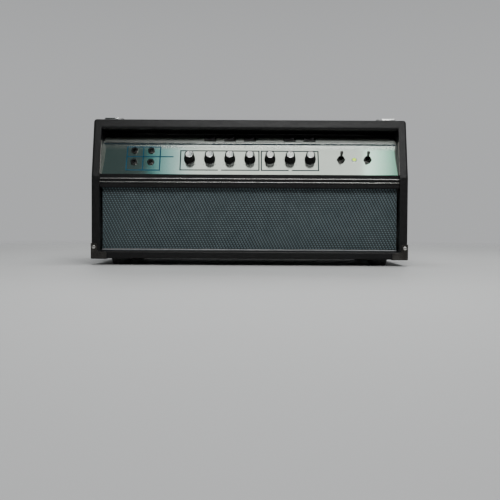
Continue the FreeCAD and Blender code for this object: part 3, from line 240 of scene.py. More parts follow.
def finishes():
    """One material for each material slot of the record, and a few that only this script uses."""
    steel = (0.62, 0.62, 0.6)
    return {
        "black_vinyl": vinyl(),
        "bare_wood": wood("bare_wood", (0.03, 0.022, 0.017), (0.012, 0.009, 0.008)),
        "grille_cloth": cloth(),
        "piping": worn("piping", (0.42, 0.43, 0.44), (0.3, 0.31, 0.33), 0.42, size=0.01),
        "bright_trim": worn("bright_trim", (0.78, 0.79, 0.78), (0.66, 0.67, 0.67), 0.17, 1.0),
        "nickel": worn("nickel", (0.09, 0.086, 0.08), (0.05, 0.048, 0.045), 0.3, 1.0, depth=0.00008),
        "plated_screws": worn("plated_screws", (0.6, 0.59, 0.57), (0.42, 0.41, 0.4), 0.28, 1.0, 0.006),
        "rubber": worn("rubber", (0.018, 0.018, 0.018), (0.03, 0.03, 0.029), 0.75, depth=0.0001),
        "strap": worn("strap", (0.014, 0.014, 0.014), (0.024, 0.024, 0.024), 0.5, depth=0.0001),
        "panel_aluminium": panel_metal(),
        "black_knob": worn("black_knob", (0.004, 0.004, 0.0045), (0.007, 0.007, 0.007), 0.42, size=0.008,
                           Specular_IOR_Level=0.12),
        "switch_plastic": worn("switch_plastic", (0.008, 0.008, 0.009), (0.014, 0.014, 0.014), 0.22),
        "plated_steel": worn("plated_steel", steel, (0.5, 0.5, 0.47), 0.35, 1.0),
        "bright_nuts": worn("bright_nuts", (0.74, 0.74, 0.73), (0.6, 0.6, 0.6), 0.14, 1.0, 0.006),
        # Painted dark reflection: bright nickel darkened as if it mirrored a dark room, for nuts, collars, levers,
        # toggle bodies, jack contacts and cheek rims
        "dark_nickel": worn("dark_nickel", (0.11, 0.108, 0.1), (0.06, 0.058, 0.055), 0.14, 1.0, 0.006),
        # Painted dark reflection: paint for the bright cheek plates, darkened as if they mirrored a dark room
        "cheek_paint": worn("cheek_paint", (0.02, 0.022, 0.022), (0.013, 0.015, 0.015), 0.5,
                            Specular_IOR_Level=0.3),
        "lamp_lens": lamp_lens(),
        "chassis_steel": worn("chassis_steel", steel, (0.47, 0.48, 0.44), 0.4, 1.0, 0.012),
        "transformer_paint": laminated(),
        "valve_glass": glass(),
        "valve_base": worn("valve_base", (0.02, 0.013, 0.009), (0.035, 0.022, 0.015), 0.35),
        "socket_ceramic": worn("socket_ceramic", (0.7, 0.68, 0.62), (0.6, 0.57, 0.5), 0.3),
        "capacitor_can": worn("capacitor_can", (0.72, 0.73, 0.74), (0.6, 0.61, 0.62), 0.3, 1.0),
        "circuit_board": worn("circuit_board", (0.03, 0.09, 0.04), (0.05, 0.12, 0.05), 0.4),
        "small_components": worn("small_components", (0.45, 0.2, 0.06), (0.12, 0.16, 0.3), 0.4),
        "black_plastic": worn("black_plastic", (0.012, 0.012, 0.012), (0.02, 0.02, 0.02), 0.36),
        "vent_steel": worn("vent_steel", (0.012, 0.012, 0.012), (0.022, 0.021, 0.02), 0.48, depth=0.00008),
        "spun_aluminium": spun_metal(),
        "jack_box_ink": worn("jack_box_ink", (0.008, 0.07, 0.12), (0.012, 0.09, 0.14), 0.65,
                             Specular_IOR_Level=0.15),
        "knob_box_ink": worn("knob_box_ink", (0.012, 0.026, 0.034), (0.02, 0.036, 0.044), 0.65,
                             Specular_IOR_Level=0.15),
    }


PAINT = finishes()


# Building meshes

def add_object(name, data):
    made = bpy.data.objects.new(name, data)
    bpy.context.scene.collection.objects.link(made)
    return made


def piece(name, mesh, body=CABINET, slot=None, paint=None, stands_for=(), at=None):
    """Turn a mesh into a named piece that rides on a body."""
    made = add_object(name, mesh)
    if not mesh.materials:
        mesh.materials.append(PAINT[paint or slot])
    if at is not None:
        made.matrix_world = at
    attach(made, body)
    if stands_for:
        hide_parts(*stands_for)
    return made


def smooth(mesh, angle=35):
    """Shade a mesh smooth, but keep edges sharper than the angle."""
    mesh.polygons.foreach_set("use_smooth", [True] * len(mesh.polygons))
    mesh.set_sharp_from_angle(angle=math.radians(angle))
    return mesh


def to_mesh(built, name="shape", angle=35):
    """Finish a bmesh as a smooth mesh."""
    data = bpy.data.meshes.new(name)
    built.to_mesh(data)
    built.free()
    return smooth(data, angle)


def baked(thing):
    """The mesh of an object after its modifiers."""
    bpy.context.view_layer.update()
    return bpy.data.meshes.new_from_object(thing.evaluated_get(bpy.context.evaluated_depsgraph_get()))


def bridge(built, low, high):
    """Faces between two closed rings of vertices. A ring may be one vertex over and over."""
    for i in range(len(low)):
        after = (i + 1) % len(low)
        corners = [low[i], low[after], high[after], high[i]]
        distinct = [corner for n, corner in enumerate(corners) if corner not in corners[:n]]
        if len(distinct) > 2:
            built.faces.new(distinct)


def revolve(points, steps=48, name="turned", flutes=24):
    """Turn (radius, height) points in mm about Z. A third value is how deep flutes cut in at that point."""
    built = bmesh.new()
    rings = []
    for radius, height, *depth in points:
        if radius == 0:
            rings.append([built.verts.new((0, 0, height * MM))] * steps)
            continue
        ring = []
        for step in range(steps):
            angle = 2 * math.pi * step / steps
            groove = depth[0] * (0.5 + 0.5 * math.cos(flutes * angle)) if depth else 0
            reach = (radius - groove) * MM
            ring.append(built.verts.new((reach * math.cos(angle), reach * math.sin(angle), height * MM)))
        rings.append(ring)
    for low, high in zip(rings, rings[1:]):
        bridge(built, low, high)
    bmesh.ops.recalc_face_normals(built, faces=built.faces)
    return to_mesh(built, name)


def joined(meshes_and_places, name):
    """One mesh made of copies of meshes, each moved by its matrix."""
    built = bmesh.new()
    for mesh, place in meshes_and_places:
        moved = mesh.copy()
        moved.transform(place)
        built.from_mesh(moved)
        bpy.data.meshes.remove(moved)
    return to_mesh(built, name)


def welded(name):
    """Bmesh of a CAD node, with the vertices of neighbouring faces made one."""
    built = bmesh.new()
    built.from_mesh(NODES[name].data)
    bmesh.ops.remove_doubles(built, verts=built.verts, dist=1e-6)
    return built


def islands(name):
    """The separate solids of a CAD node, each an array of its points."""
    built = welded(name)
    seen = set()
    found = []
    for start in built.verts:
        if start in seen:
            continue
        seen.add(start)
        stack, group = [start], []
        while stack:
            vert = stack.pop()
            group.append(vert.co.copy())
            for edge in vert.link_edges:
                other = edge.other_vert(vert)
                if other not in seen:
                    seen.add(other)
                    stack.append(other)
        found.append(np.array(group))
    built.free()
    return found


def refined(name, width, paint=None):
    """Stand-in for a CAD node: the same solids with their sharp edges rounded, as made parts have."""
    flat_within, sharp_above = math.radians(0.6), 30
    built = welded(name)
    bmesh.ops.dissolve_limit(
        built, angle_limit=flat_within, verts=built.verts, edges=built.edges, delimit={"NORMAL"})
    label = name + "_finished"
    made = piece(label, to_mesh(built, label, sharp_above), BODY_OF[name], SLOT_OF[name], paint, (name,))
    rounding = made.modifiers.new("rounding", "BEVEL")
    rounding.width = width * MM
    rounding.segments = 2
    rounding.limit_method = "ANGLE"
    rounding.angle_limit = math.radians(sharp_above)
    rounding.use_clamp_overlap = True
    rounding.harden_normals = True


def turned_to(normal, foot):
    """A place whose own Z axis is the normal, and whose own X axis stays level."""
    out = Vector(normal).normalized()
    level = Vector((1, 0, 0)) if abs(out.x) < 0.9 else Vector((0, 1, 0))
    up = out.cross(level).normalized()
    level = up.cross(out)
    turn = Matrix((level, up, out)).transposed().to_4x4()
    return Matrix.Translation(foot) @ turn


def slots_from_record():
    """Which material slot each CAD node has, read from the materials on its mesh."""
    names = [entry["slot"] for entry in frame["record"]["materials"]]
    found = {}
    for name, thing in NODES.items():
        used = [m.name.split(".")[0] for m in thing.data.materials if m]
        found[name] = next((slot for slot in names if slot in used), used[0] if used else None)
    return found


SLOT_OF = slots_from_record()


def plane_of_panel():
    """The control panel's foot, and the directions up along it and out of it."""
    out = Vector(JOINTS["knob_1_turn"]["axis"])
    foot = min((vert.co for vert in NODES["control_panel"].data.vertices), key=lambda spot: spot.y)
    return Vector((0, foot.y, foot.z)), out.cross(Vector((1, 0, 0))), out


PANEL_FOOT, PANEL_UP, PANEL_OUT = plane_of_panel()


def on_panel(x, up):
    """Place on the control panel, in metres along it, with the place's own Z axis out of the panel."""
    return turned_to(PANEL_OUT, Vector((x, 0, 0)) + PANEL_FOOT + PANEL_UP * up)


def foot_on_panel(spot):
    """Place on the panel's face right below a point in front of it."""
    return on_panel(spot[0], (Vector(spot) - PANEL_FOOT).dot(PANEL_UP))


def block(low, high):
    """Mesh of a box between two corners in mm."""
    built = bmesh.new()
    bmesh.ops.create_cube(built, size=1)
    low, high = Vector(low) * MM, Vector(high) * MM
    for vert in built.verts:
        vert.co = Vector((low[i] + (vert.co[i] + 0.5) * (high[i] - low[i]) for i in range(3)))
    return to_mesh(built, "block")


def extruded(outline, start, end, name):
    """Mesh of an outline of (y, z) points in metres, drawn out along X."""
    built = bmesh.new()
    ends = [[built.verts.new((x, y, z)) for y, z in outline] for x in (start, end)]
    bridge(built, *ends)
    built.faces.new(reversed(ends[0]))
    built.faces.new(ends[1])
    bmesh.ops.recalc_face_normals(built, faces=built.faces)
    return to_mesh(built, name)


def rounded_block(low, high, width):
    """Mesh of a box with rounded edges, in mm."""
    built = bmesh.new()
    built.from_mesh(block(low, high))
    bmesh.ops.bevel(built, geom=built.edges[:], offset=width * MM, segments=3, profile=0.5, affect="EDGES")
    return to_mesh(built, "rounded_block", 60)


# Knobs

FLUTES = 24
KNOB_REACH = 17.2
FLUTE_DEEP = 0.45


def knob_moulding():
    """Hollow skirt with fluted sides, a smooth rim below, and a raised pointer line on its cap."""
    inside = [(0, 7.2), (8.4, 7.2), (8.4, 0.8)]
    rim = [(10.5, 0.8), (10.85, 0.95), (11, 1.3), (11, 3.0), (10.8, 3.5), (10.3, 3.9), (10.0, 4.3, 0.1)]
    side = [(9.9, 5.0), (9.7, 7.5), (9.45, 11), (9.25, 14.5), (9.15, 15.9)]
    fluted = [(radius, height, FLUTE_DEEP) for radius, height in side]
    top = [
        (9.1, 16.6, 0.2), (8.95, 17.05), (8.7, KNOB_REACH), (7.35, KNOB_REACH), (7.2, 17.0), (7.15, 16.3),
        (0, 16.3),
    ]
    skirt = revolve([*inside, *rim, *fluted, *top], FLUTES * 6, "skirt", FLUTES)
    pointer = rounded_block((-0.5, 3.2, KNOB_REACH), (0.5, 7.0, KNOB_REACH + 0.7), 0.2)
    notch = rounded_block((-0.6, 7.2, 16.6), (0.6, 8.8, 17.35), 0.2)
    return joined([(skirt, Matrix()), (pointer, Matrix()), (notch, Matrix())], "knob_moulding")


def knob_metal():
    """The spun cap, slightly dished, and the shaft that the skirt grips."""
    cap = revolve([
        (0, 16.35), (7.1, 16.35), (7.1, 17.35), (7.0, 17.6), (6.75, 17.75), (6.3, 17.78), (5.9, 17.7),
        (4, 17.55), (0, 17.5)], 72, "cap")
    shaft = revolve([(0, -1.5), (2.7, -1.5), (3, -1.2), (3, 7.1), (0, 7.1)], 32, "shaft")
    return joined([(cap, Matrix()), (shaft, Matrix())], "knob_metal")


def knobs():
    moulding, metal = knob_moulding(), knob_metal()
    for number in range(1, 8):
        name = f"knob_{number}"
        place = foot_on_panel(JOINTS[name + "_turn"]["pos_m"])
        piece(name + "_skirt", moulding, name, "black_knob", stands_for=(name,), at=place)
        piece(name + "_cap", metal, name, "bright_trim", "spun_aluminium", at=place)


# Switches, jacks and lamp

def direction_of(points, towards):
    """The long direction of a cloud of points, turned towards a vector."""
    spread = points - points.mean(0)
    main = Vector(np.linalg.svd(spread, full_matrices=False)[2][0])
    return main if main.dot(towards) > 0 else -main


def toggle_levers():
    """Bat levers: a slim neck that swells to a rounded end."""
    bat = revolve([
        (0, -4.5), (1.3, -4.5), (1.6, -4.2), (1.6, 1.5), (1.62, 3), (1.75, 5), (2.0, 8), (2.4, 12),
        (2.8, 16), (3.05, 18.6), (3.1, 19.6), (3.0, 20.5), (2.65, 21.3), (2.0, 21.8), (1.0, 22), (0, 22)],
        40, "bat")
    for number in (1, 2):
        name = f"toggle_lever_{number}"
        joint = JOINTS[f"toggle_{number}_flip"]
        along = direction_of(islands(name)[0], PANEL_OUT)
        place = turned_to(along, foot_on_panel(joint["pos_m"]).translation)
        # Bright levers given the nickel with a painted dark reflection
        piece(name + "_bat", bat, name, "bright_nuts", "dark_nickel", stands_for=(name,), at=place)


def hex_nut(flats, thick, bore):
    """Hexagon nut in mm with a chamfered top and a slightly countersunk bore."""
    steps = 72
    half = flats / 2
    chamfer = math.radians(30)
    built = bmesh.new()
    rings = [[] for _ in range(6)]
    for step in range(steps):
        angle = 2 * math.pi * step / steps
        reach = half / math.cos((angle + math.pi / 6) % (math.pi / 3) - math.pi / 6)
        drop = (reach - half) * math.tan(chamfer)
        profile = (
            (bore, 0), (reach, 0), (reach, thick - drop - 0.12), (half - 0.25, thick),
            (bore + 0.3, thick), (bore, thick - 0.3),
        )
        for ring, (radius, height) in zip(rings, profile):
            spot = (radius * math.cos(angle) * MM, radius * math.sin(angle) * MM, height * MM)
            ring.append(built.verts.new(spot))
    for low, high in zip(rings, rings[1:] + rings[:1]):
        bridge(built, low, high)
    bmesh.ops.recalc_face_normals(built, faces=built.faces)
    return to_mesh(built, "hex_nut", 25)


def ferrule():
    """Domed collar in mm over a jack's nut."""
    dome = [(4.8 + 1.9 * math.cos(a), 1.0 + 2.1 * math.sin(a)) for a in np.linspace(0, math.pi / 2, 8)]
    return revolve([(4.8, 0), (6.7, 0), *dome, (4.8, 0)], 48, "ferrule")


def nuts():
    """Chamfered nuts for the frame's plain ones, and collars over the front jacks."""
    corner_level = math.pi / 6
    for name, flats, thick, bore, turn_each in (
        ("panel_nuts", 12.7, 2.4, 4.75, 0.7), ("toggle_nuts", 14.3, 2.2, 5.9, math.pi / 3),
    ):
        nut = hex_nut(flats, thick, bore)
        copies = []
        for points in islands(name):
            middle = Vector(points.mean(0))
            out = PANEL_OUT if middle.y < 0 else Vector((0, 1, 0))
            turn = Matrix.Rotation(corner_level + turn_each * len(copies), 4, "Z")
            copies.append((nut, turned_to(out, middle - out * thick / 2 * MM) @ turn))
        # Bright nuts given the nickel with a painted dark reflection
        piece(name + "_chamfered", joined(copies, name), slot="bright_nuts", paint="dark_nickel",
              stands_for=(name,))
    collars = [(ferrule(), foot_on_panel(place.translation))
               for place, name in jack_places() if name.startswith("input")]
    # Bright collars given the nickel with a painted dark reflection
    piece("jack_ferrules", joined(collars, "ferrules"), slot="bright_nuts", paint="dark_nickel")


def jack_places():
    """The mouth of each jack, from its mount in the record: its own Z axis out of the panel."""
    for mount in frame["record"]["mounts"]:
        if "jack" in mount["name"]:
            yield turned_to(mount["axis"], Vector(mount["pos_m"])), mount["name"]


def jack_contacts():
    """Sprung tip contact inside each jack, a straight strip with a small ball on it, just below its mouth."""
    strip = rounded_block((-1.1, 1.4, -9), (1.1, 1.9, 3), 0.15)
    ball = revolve([(0, -1), (0.9, -0.7), (1.2, 0), (0.9, 0.7), (0, 1)], 20, "ball")
    copies = []
    for place, _ in jack_places():
        copies.append((strip, place))
        copies.append((ball, place @ Matrix.Translation((0, 1.4 * MM, 2.6 * MM))))
    # Bright contacts given the nickel with a painted dark reflection
    piece("jack_contacts", joined(copies, "jack_contacts"), slot="bright_nuts", paint="dark_nickel")


def pilot_lens():
    """Domed jewel with shallow flutes round its side."""
    dome = [(3.6 * math.cos(a), 1.2 + 1.55 * math.sin(a), 0.3 * math.cos(a))
            for a in np.linspace(0, 1.45, 8)]
    jewel = revolve([(0, -7), (3.55, -7), (3.55, 0.9), *dome, (0, 2.78)], 96, "jewel", 12)
    low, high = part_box("pilot_lens")
    place = on_panel((low.x + high.x) / 2, row_height())
    piece("pilot_jewel", jewel, slot="lamp_lens", stands_for=("pilot_lens",), at=place)


def row_height():
    """How far up the panel the row of knobs, switches and lamp is."""
    return (Vector(JOINTS["knob_1_turn"]["pos_m"]) - PANEL_FOOT).dot(PANEL_UP)


# Printing on the panel, and a painted shadow below its fold

INK_THICK = 0.09
KNOB_BOX_LINE = 2.4
JACK_BOX_LINE = 2.3


def ink_bar(x_low, up_low, x_high, up_high):
    """Printed bar on the panel between two corners in mm."""
    return block((x_low, up_low, 0), (x_high, up_high, INK_THICK)), on_panel(0, 0)


def ink_line(x_low, up_low, x_high, up_high, width):
    half = width / 2
    return ink_bar(x_low - half, up_low - half, x_high + half, up_high + half)


def printed_boxes():
    """Two boxes round the knobs, whose lower line has a gap, and a divided box round the jacks."""
    low, high, half_gap = 10.0, 54.9, 4.2
    lines = []
    for left, right, gap in ((-135.6, 17.7, -58.9), (22.4, 133.6, 78.5)):
        lines += [
            ink_line(left, high, right, high, KNOB_BOX_LINE),
            ink_line(left, low, gap - half_gap, low, KNOB_BOX_LINE),
            ink_line(gap + half_gap, low, right, low, KNOB_BOX_LINE),
            ink_line(left, low, left, high, KNOB_BOX_LINE),
            ink_line(right, low, right, high, KNOB_BOX_LINE),
        ]
    piece("knob_box_print", joined(lines, "knob_box"), slot="panel_aluminium", paint="knob_box_ink")
    low, high, middle = 9.3, 63.3, 40.6
    left, centre, right, tail = -240.4, -208.6, -175.6, -150.5
    lines = [ink_line(x, low, x, high, JACK_BOX_LINE) for x in (left, centre, right)]
    lines += [ink_line(left, up, right, up, JACK_BOX_LINE) for up in (low, high)]
    lines.append(ink_line(left, middle, tail, middle, JACK_BOX_LINE))
    piece("jack_box_print", joined(lines, "jack_box"), slot="panel_aluminium", paint="jack_box_ink")


def numeral(text, size):
    """Flat mesh of a number, centred on its own origin, in metres."""
    data = bpy.data.curves.new("numeral", "FONT")
    data.body = text
    data.size = size
    data.align_x, data.align_y = "CENTER", "CENTER"
    data.extrude = INK_THICK / 2 * MM
    holder = add_object("numeral", data)
    mesh = baked(holder)
    bpy.data.objects.remove(holder)
    return mesh


def dial_print():
    """Eleven ticks round each knob with 0, 5 and 10 beside them."""
    tick = block((-0.22, 12.6, 0), (0.22, 14.0, INK_THICK))
    number_size, number_radius = 3.1 * MM, 16.6 * MM
    tick_step, first_tick = 30, -150
    numbers = [(numeral(text, number_size), math.radians(turn))
               for text, turn in (("0", 138), ("5", 0), ("10", -138))]
    copies = []
    for number in range(1, 8):
        place = foot_on_panel(JOINTS[f"knob_{number}_turn"]["pos_m"])
        for step in range(11):
            turn = math.radians(tick_step * step + first_tick)
            copies.append((tick, place @ Matrix.Rotation(turn, 4, "Z")))
        for mesh, turn in numbers:
            spot = Vector((-math.sin(turn), math.cos(turn), 0)) * number_radius
            copies.append((mesh, place @ Matrix.Translation(spot + Vector((0, 0, INK_THICK / 2 * MM)))))
    piece("dial_print", joined(copies, "dial"), slot="panel_aluminium", paint="knob_box_ink")


def panel_border():
    """Dark band along the top of the panel, just below its fold: a painted shadow of the gap under the fold, laid
    on in ink.
    """
    low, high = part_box("control_panel")
    end_gap = 1
    reach = (high.x - low.x) / 2 / MM - end_gap
    # Ink bar that is a painted shadow of the gap below the fold, not print
    piece("panel_border", joined([ink_bar(-reach, 68.9, reach, 72.6)], "border"),
          slot="panel_aluminium", paint="knob_box_ink")


# Cabinet hardware

def trim_beads():
    """Two bright half-round beads along the front rail, each set in a wider black carrier."""
    bead_half, bead_proud, soft = 0.65 * MM, 0.9 * MM, 0.5 * MM
    beads, carriers = [], []
    for points in islands("trim_strips"):
        low, high = points.min(0), points.max(0)
        middle = (low[2] + high[2]) / 2
        seat = low[1] + bead_proud
        round_over = [
            (seat - bead_proud * math.cos(a), middle + bead_half * math.sin(a))
            for a in np.linspace(-math.pi / 2, math.pi / 2, 13)
        ]
        beads.append((extruded(round_over, low[0], high[0], "bead"), Matrix()))
        section = [
            (seat, low[2] + soft), (seat, high[2] - soft), (seat + soft, high[2]), (high[1], high[2]),
            (high[1], low[2]), (seat + soft, low[2]),
        ]
        carriers.append((extruded(section, low[0], high[0], "carrier"), Matrix()))
    piece("trim_beads", joined(beads, "beads"), slot="bright_trim", paint="plated_screws",
          stands_for=("trim_strips",))
    piece("trim_carriers", joined(carriers, "carriers"), slot="black_plastic", paint="black_plastic")


def cheek_rims():
    """Bright rounded rim along the front edge of each cheek."""
    near, sunk, rim_radius = 0.5 * MM, 0.5 * MM, 0.7
    rims = []
    for points in islands("panel_cheeks"):
        low, high = points.min(0), points.max(0)
        foot = points[points[:, 2] < low[2] + near]
        head = points[points[:, 2] > high[2] - near]
        start = Vector(((low[0] + high[0]) / 2, foot[:, 1].min(), low[2]))
        end = Vector((start.x, head[:, 1].min(), high[2]))
        run = end - start
        length = run.length / MM
        width = (high[0] - low[0]) / 2
        rim = revolve([
            (0, 0), (0.55, 0), (rim_radius, 0.2), (rim_radius, length - 0.2), (0.55, length), (0, length)],
            16, "rim")
        spread = Matrix.Diagonal((max(width / (rim_radius * MM), 1), 1, 1, 1))
        rims.append((rim, turned_to(run, start + Vector((0, sunk, 0))) @ spread))
    # Bright rims given the nickel with a painted dark reflection
    piece("cheek_rims", joined(rims, "rims"), slot="bright_trim", paint="dark_nickel")


HEAD_TALL = 2.0


def pan_screw(reach):
    """Pan-head screw in mm with a cross recess. Its head stands on its own origin."""
    head = revolve([
        (0, -reach), (0.5, -reach), (1.85, -reach + 2.5), (1.85, 0), (3.7, 0), (3.7, 0.5), (3.5, 1.1),
        (3.0, 1.55), (2.2, 1.85), (1.2, 1.97), (0, HEAD_TALL)], 36, "head")
    body = add_object("head", head)
    tool = add_object("tool", cross())
    carve = body.modifiers.new("carve", "BOOLEAN")
    carve.operation = "DIFFERENCE"
    carve.object = tool
    mesh = baked(body)
    bpy.data.objects.remove(body)
    bpy.data.objects.remove(tool)
    return smooth(mesh, 40)


def cross():
    """Closed cross-shaped cutter for a screw's recess, wider above than below."""
    long, short = 2.0 * MM, 0.42 * MM
    narrow, wide = 0.7, 1.1
    recess_floor, top = 0.75 * MM, 3 * MM
    outline = [
        (short, short), (long, short), (long, -short), (short, -short), (short, -long), (-short, -long),
        (-short, -short), (-long, -short), (-long, short), (-short, short), (-short, long), (short, long),
    ]
    built = bmesh.new()
    low = [built.verts.new((x * narrow, y * narrow, recess_floor)) for x, y in outline]
    high = [built.verts.new((x * wide, y * wide, top)) for x, y in outline]
    bridge(built, low, high)
    built.faces.new(low)
    built.faces.new(high)
    bmesh.ops.recalc_face_normals(built, faces=built.faces)
    return to_mesh(built, "cross")


def screws():
    """Cross-recessed screws where the frame has its plain ones, each turned to a different rest."""
    inside_head, turn_each = 3.2 * MM, 1.3
    for name, reach in (("wood_screws", 13), ("machine_screws", 9)):
        screw = pan_screw(reach)
        copies = []
        for points in islands(name):
            low, high = points.min(0), points.max(0)
            along = int(np.argmax(high - low))
            middle = (low + high) / 2
            wide = [p for p in points if np.linalg.norm(np.delete(p - middle, along)) > inside_head]
            head = np.mean([p[along] for p in wide])
            sign = 1 if head > middle[along] else -1
            out = Vector([sign if i == along else 0 for i in range(3)])
            seat = Vector(middle)
            seat[along] = (high if sign > 0 else low)[along] - sign * HEAD_TALL * MM
            turn = Matrix.Rotation(turn_each * len(copies), 4, "Z")
            copies.append((screw, turned_to(out, seat) @ turn))
        piece(name + "_recessed", joined(copies, name), slot="plated_screws", stands_for=(name,))


def straps():
    """Moulded strap handles: flat ends, a smooth bow, and ribs across the grip."""
    copies = []
    for points in islands("handle_straps"):
        low, high = Vector(points.min(0)), Vector(points.max(0))
        copies.append((strap_mesh(low, high), Matrix()))
    piece("handle_straps_moulded", joined(copies, "straps"), slot="strap", stands_for=("handle_straps",))


def strap_mesh(low, high):
    """One strap within its box. Its section is a rounded bar with a raised bead along each side."""
    length = high.y - low.y
    flat_end, rising = 0.16, 0.17
    grip_from, grip_fade = 0.3, 0.03
    ribs, rib_deep = 34, 0.35 * MM
    narrowing = 0.06
    thick = 5.0 * MM
    rise = high.z - low.z - thick
    stations = 160
    section = strap_section()
    built = bmesh.new()
    rings = []
    for step in range(stations + 1):
        share = step / stations
        inward = min(share, 1 - share)
        bend = min(max((inward - flat_end) / rising, 0), 1)
        lift = rise * bend * bend * (3 - 2 * bend)
        grip = min(max((inward - grip_from) / grip_fade, 0), 1)
        rib = rib_deep * grip * (0.5 - 0.5 * math.cos(2 * math.pi * share * ribs))
        ring = []
        for across, height in section:
            groove = rib if height > 0.9 and abs(across) < 0.7 else 0
            x = (low.x + high.x) / 2 + across * (high.x - low.x) / 2 * (1 - narrowing * bend)
            z = low.z + lift + height * thick - groove
            ring.append(built.verts.new((x, low.y + share * length, z)))
        rings.append(ring)
    for before, after in zip(rings, rings[1:]):
        bridge(built, before, after)
    built.faces.new(rings[0])
    built.faces.new(reversed(rings[-1]))
    bmesh.ops.recalc_face_normals(built, faces=built.faces)
    return to_mesh(built, "strap", 50)


def strap_section():
    """Section of the strap as (-1 to 1 across, 0 to 1 of its thickness), with a bead by each edge."""
    corner = [(0.9 + 0.1 * math.sin(a), 0.12 - 0.12 * math.cos(a))
              for a in np.linspace(0, math.pi / 2, 5)]
    shoulder = [(0.88 + 0.12 * math.cos(a), 0.82 + 0.18 * math.sin(a))
                for a in np.linspace(0, math.pi / 2, 6)]
    bead = [(0.8, 0.99), (0.76, 0.93), (0.7, 0.91)]
    right = [*corner, *shoulder, *bead, (0.5, 0.91), (0.25, 0.91)]
    return [(0.0, 0.0), *right, (0.0, 0.91), *[(-x, z) for x, z in reversed(right)]]


def grille():
    """Cloth stretched flat over its frame: flat yarns across over upright cords, in a slanting weave."""
    low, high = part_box("grille_cloth")
    width, height = high.x - low.x, high.z - low.z
    columns, rows = 99, 30
    per_column, per_row = 6, 5
    relief, slack = 0.55 * MM, 0.12 * MM
    x = np.linspace(0, columns, columns * per_column + 1)
    z = np.linspace(0, rows, rows * per_row + 1)
    across, up = np.meshgrid(x, z)
    row = np.minimum(np.floor(up), rows - 1)
    yarn = np.sqrt(np.clip(1 - (2 * (up - row) - 1) ** 2, 0, 1)) ** 0.8
    over = 0.5 + 0.5 * np.cos(2 * np.pi * (across + row / 3))
    weave = yarn * (0.15 + 0.85 * over ** 0.8)
    wander = slack * (np.sin(across * 0.31 + up * 0.17) + np.sin(across * 0.13 - up * 0.4))
    spots = np.stack([
        low.x + across / columns * width + wander * 0.6,
        high.y - (0.25 + weave) * relief,
        low.z + up / rows * height + wander * (up > 0) * (up < rows),
    ], axis=-1).reshape(-1, 3)
    across_count, up_count = len(x), len(z)
    first = (np.arange(up_count - 1)[:, None] * across_count + np.arange(across_count - 1)[None, :]).ravel()
    faces = np.stack([first, first + 1, first + 1 + across_count, first + across_count], axis=1)
    mesh = bpy.data.meshes.new("woven_cloth")
    mesh.from_pydata(spots.tolist(), [], faces.tolist())
    attribute = mesh.attributes.new("weave", "FLOAT", "POINT")
    attribute.data.foreach_set("value", weave.astype(np.float32).ravel())
    made = piece("woven_cloth", smooth(mesh, 180), slot="grille_cloth", stands_for=("grille_cloth",))


# How much the edges of each of these nodes are rounded, in mm
ROUNDED = {
    "corner_guards": 0.5, "handle_end_caps": 0.5, "rubber_feet": 0.8, "panel_cheeks": 0.2,
    "input_jacks": 0.25, "speaker_jacks": 0.25, "toggle_bodies": 0.3, "pilot_bezel": 0.25,
    "rocker_frames": 0.5, "rocker_paddle_1": 0.6, "rocker_paddle_2": 0.6, "rocker_paddle_3": 0.6,
    "rocker_paddle_4": 0.6, "rocker_paddle_5": 0.6, "power_transformer": 2.0, "output_transformer": 2.0,
    "choke": 1.2, "power_valve_bases": 0.6, "valve_sockets": 0.4, "filter_capacitors": 0.8,
    "fan_frame": 0.5, "fan_impeller": 0.3, "mains_inlet": 0.5, "fuse_holder": 0.4,
    "selector_switch": 0.4, "selector_knob": 0.5, "potentiometers": 0.4, "control_panel": 0.2,
}

# Nodes whose finish isn't the one of their slot
PAINT_INSTEAD = {
    # The preamp chassis gets black paint as painted shade: its rear wall stands for the dark recess above the
    # panel
    # Toggle bodies get the nickel with a painted dark reflection
    "preamp_chassis": "vent_steel", "input_jacks": "switch_plastic", "toggle_bodies": "dark_nickel",
    # The cheeks get paint with a painted dark reflection instead of bright aluminium
    "panel_cheeks": "cheek_paint",
}


def rounded_hardware():
    for name, width in ROUNDED.items():
        refined(name, width, paint=PAINT_INSTEAD.get(name))


knobs()
toggle_levers()
nuts()
jack_contacts()
pilot_lens()
printed_boxes()
dial_print()
panel_border()
trim_beads()
cheek_rims()
screws()
straps()
grille()
rounded_hardware()


# Camera, lights and floor

def camera():
    data = bpy.data.cameras.new("camera")
    data.lens = 62.4
    data.sensor_width = 36.0
    made = add_object("camera", data)
    eye = (0.0012, -1.835, 0.0846)
    look_down, roll = math.radians(1.86), math.radians(0.3)
    turn = Matrix.Rotation(math.pi / 2 - look_down, 4, "X") @ Matrix.Rotation(roll, 4, "Z")
    made.matrix_world = Matrix.Translation(eye) @ turn
    bpy.context.scene.camera = made


def softbox(name, place, target, size, watts, colour=(1, 1, 1)):
    data = bpy.data.lights.new(name, "AREA")
    data.color = colour
    data.shape = "RECTANGLE"
    data.size, data.size_y = size
    data.energy = watts
    place = Vector(place)
    add_object(name, data).matrix_world = turned_to(place - Vector(target), place)


KEY_DEEP = 0.9
KEY_Y, KEY_Z = -0.86, 1.7
KEY_TARGET_Y, KEY_TARGET_Z = -0.13, 0.2


def key_strip(name, start, end, first, last=None, steps=6):
    """Row of softboxes above the panel, which mirrors them.

    First and last are the (watts per square metre, red, green, blue) at its two ends.
    """
    width = (end - start) / steps
    for step in range(steps):
        share = (step + 0.5) / steps
        x = start + width * (step + 0.5)
        watts, *colour = [a + (b - a) * share for a, b in zip(first, last or first)]
        softbox(f"{name}_{step}", (x, KEY_Y, KEY_Z), (x, KEY_TARGET_Y, KEY_TARGET_Z), (width, KEY_DEEP),
                watts * width * KEY_DEEP, colour)


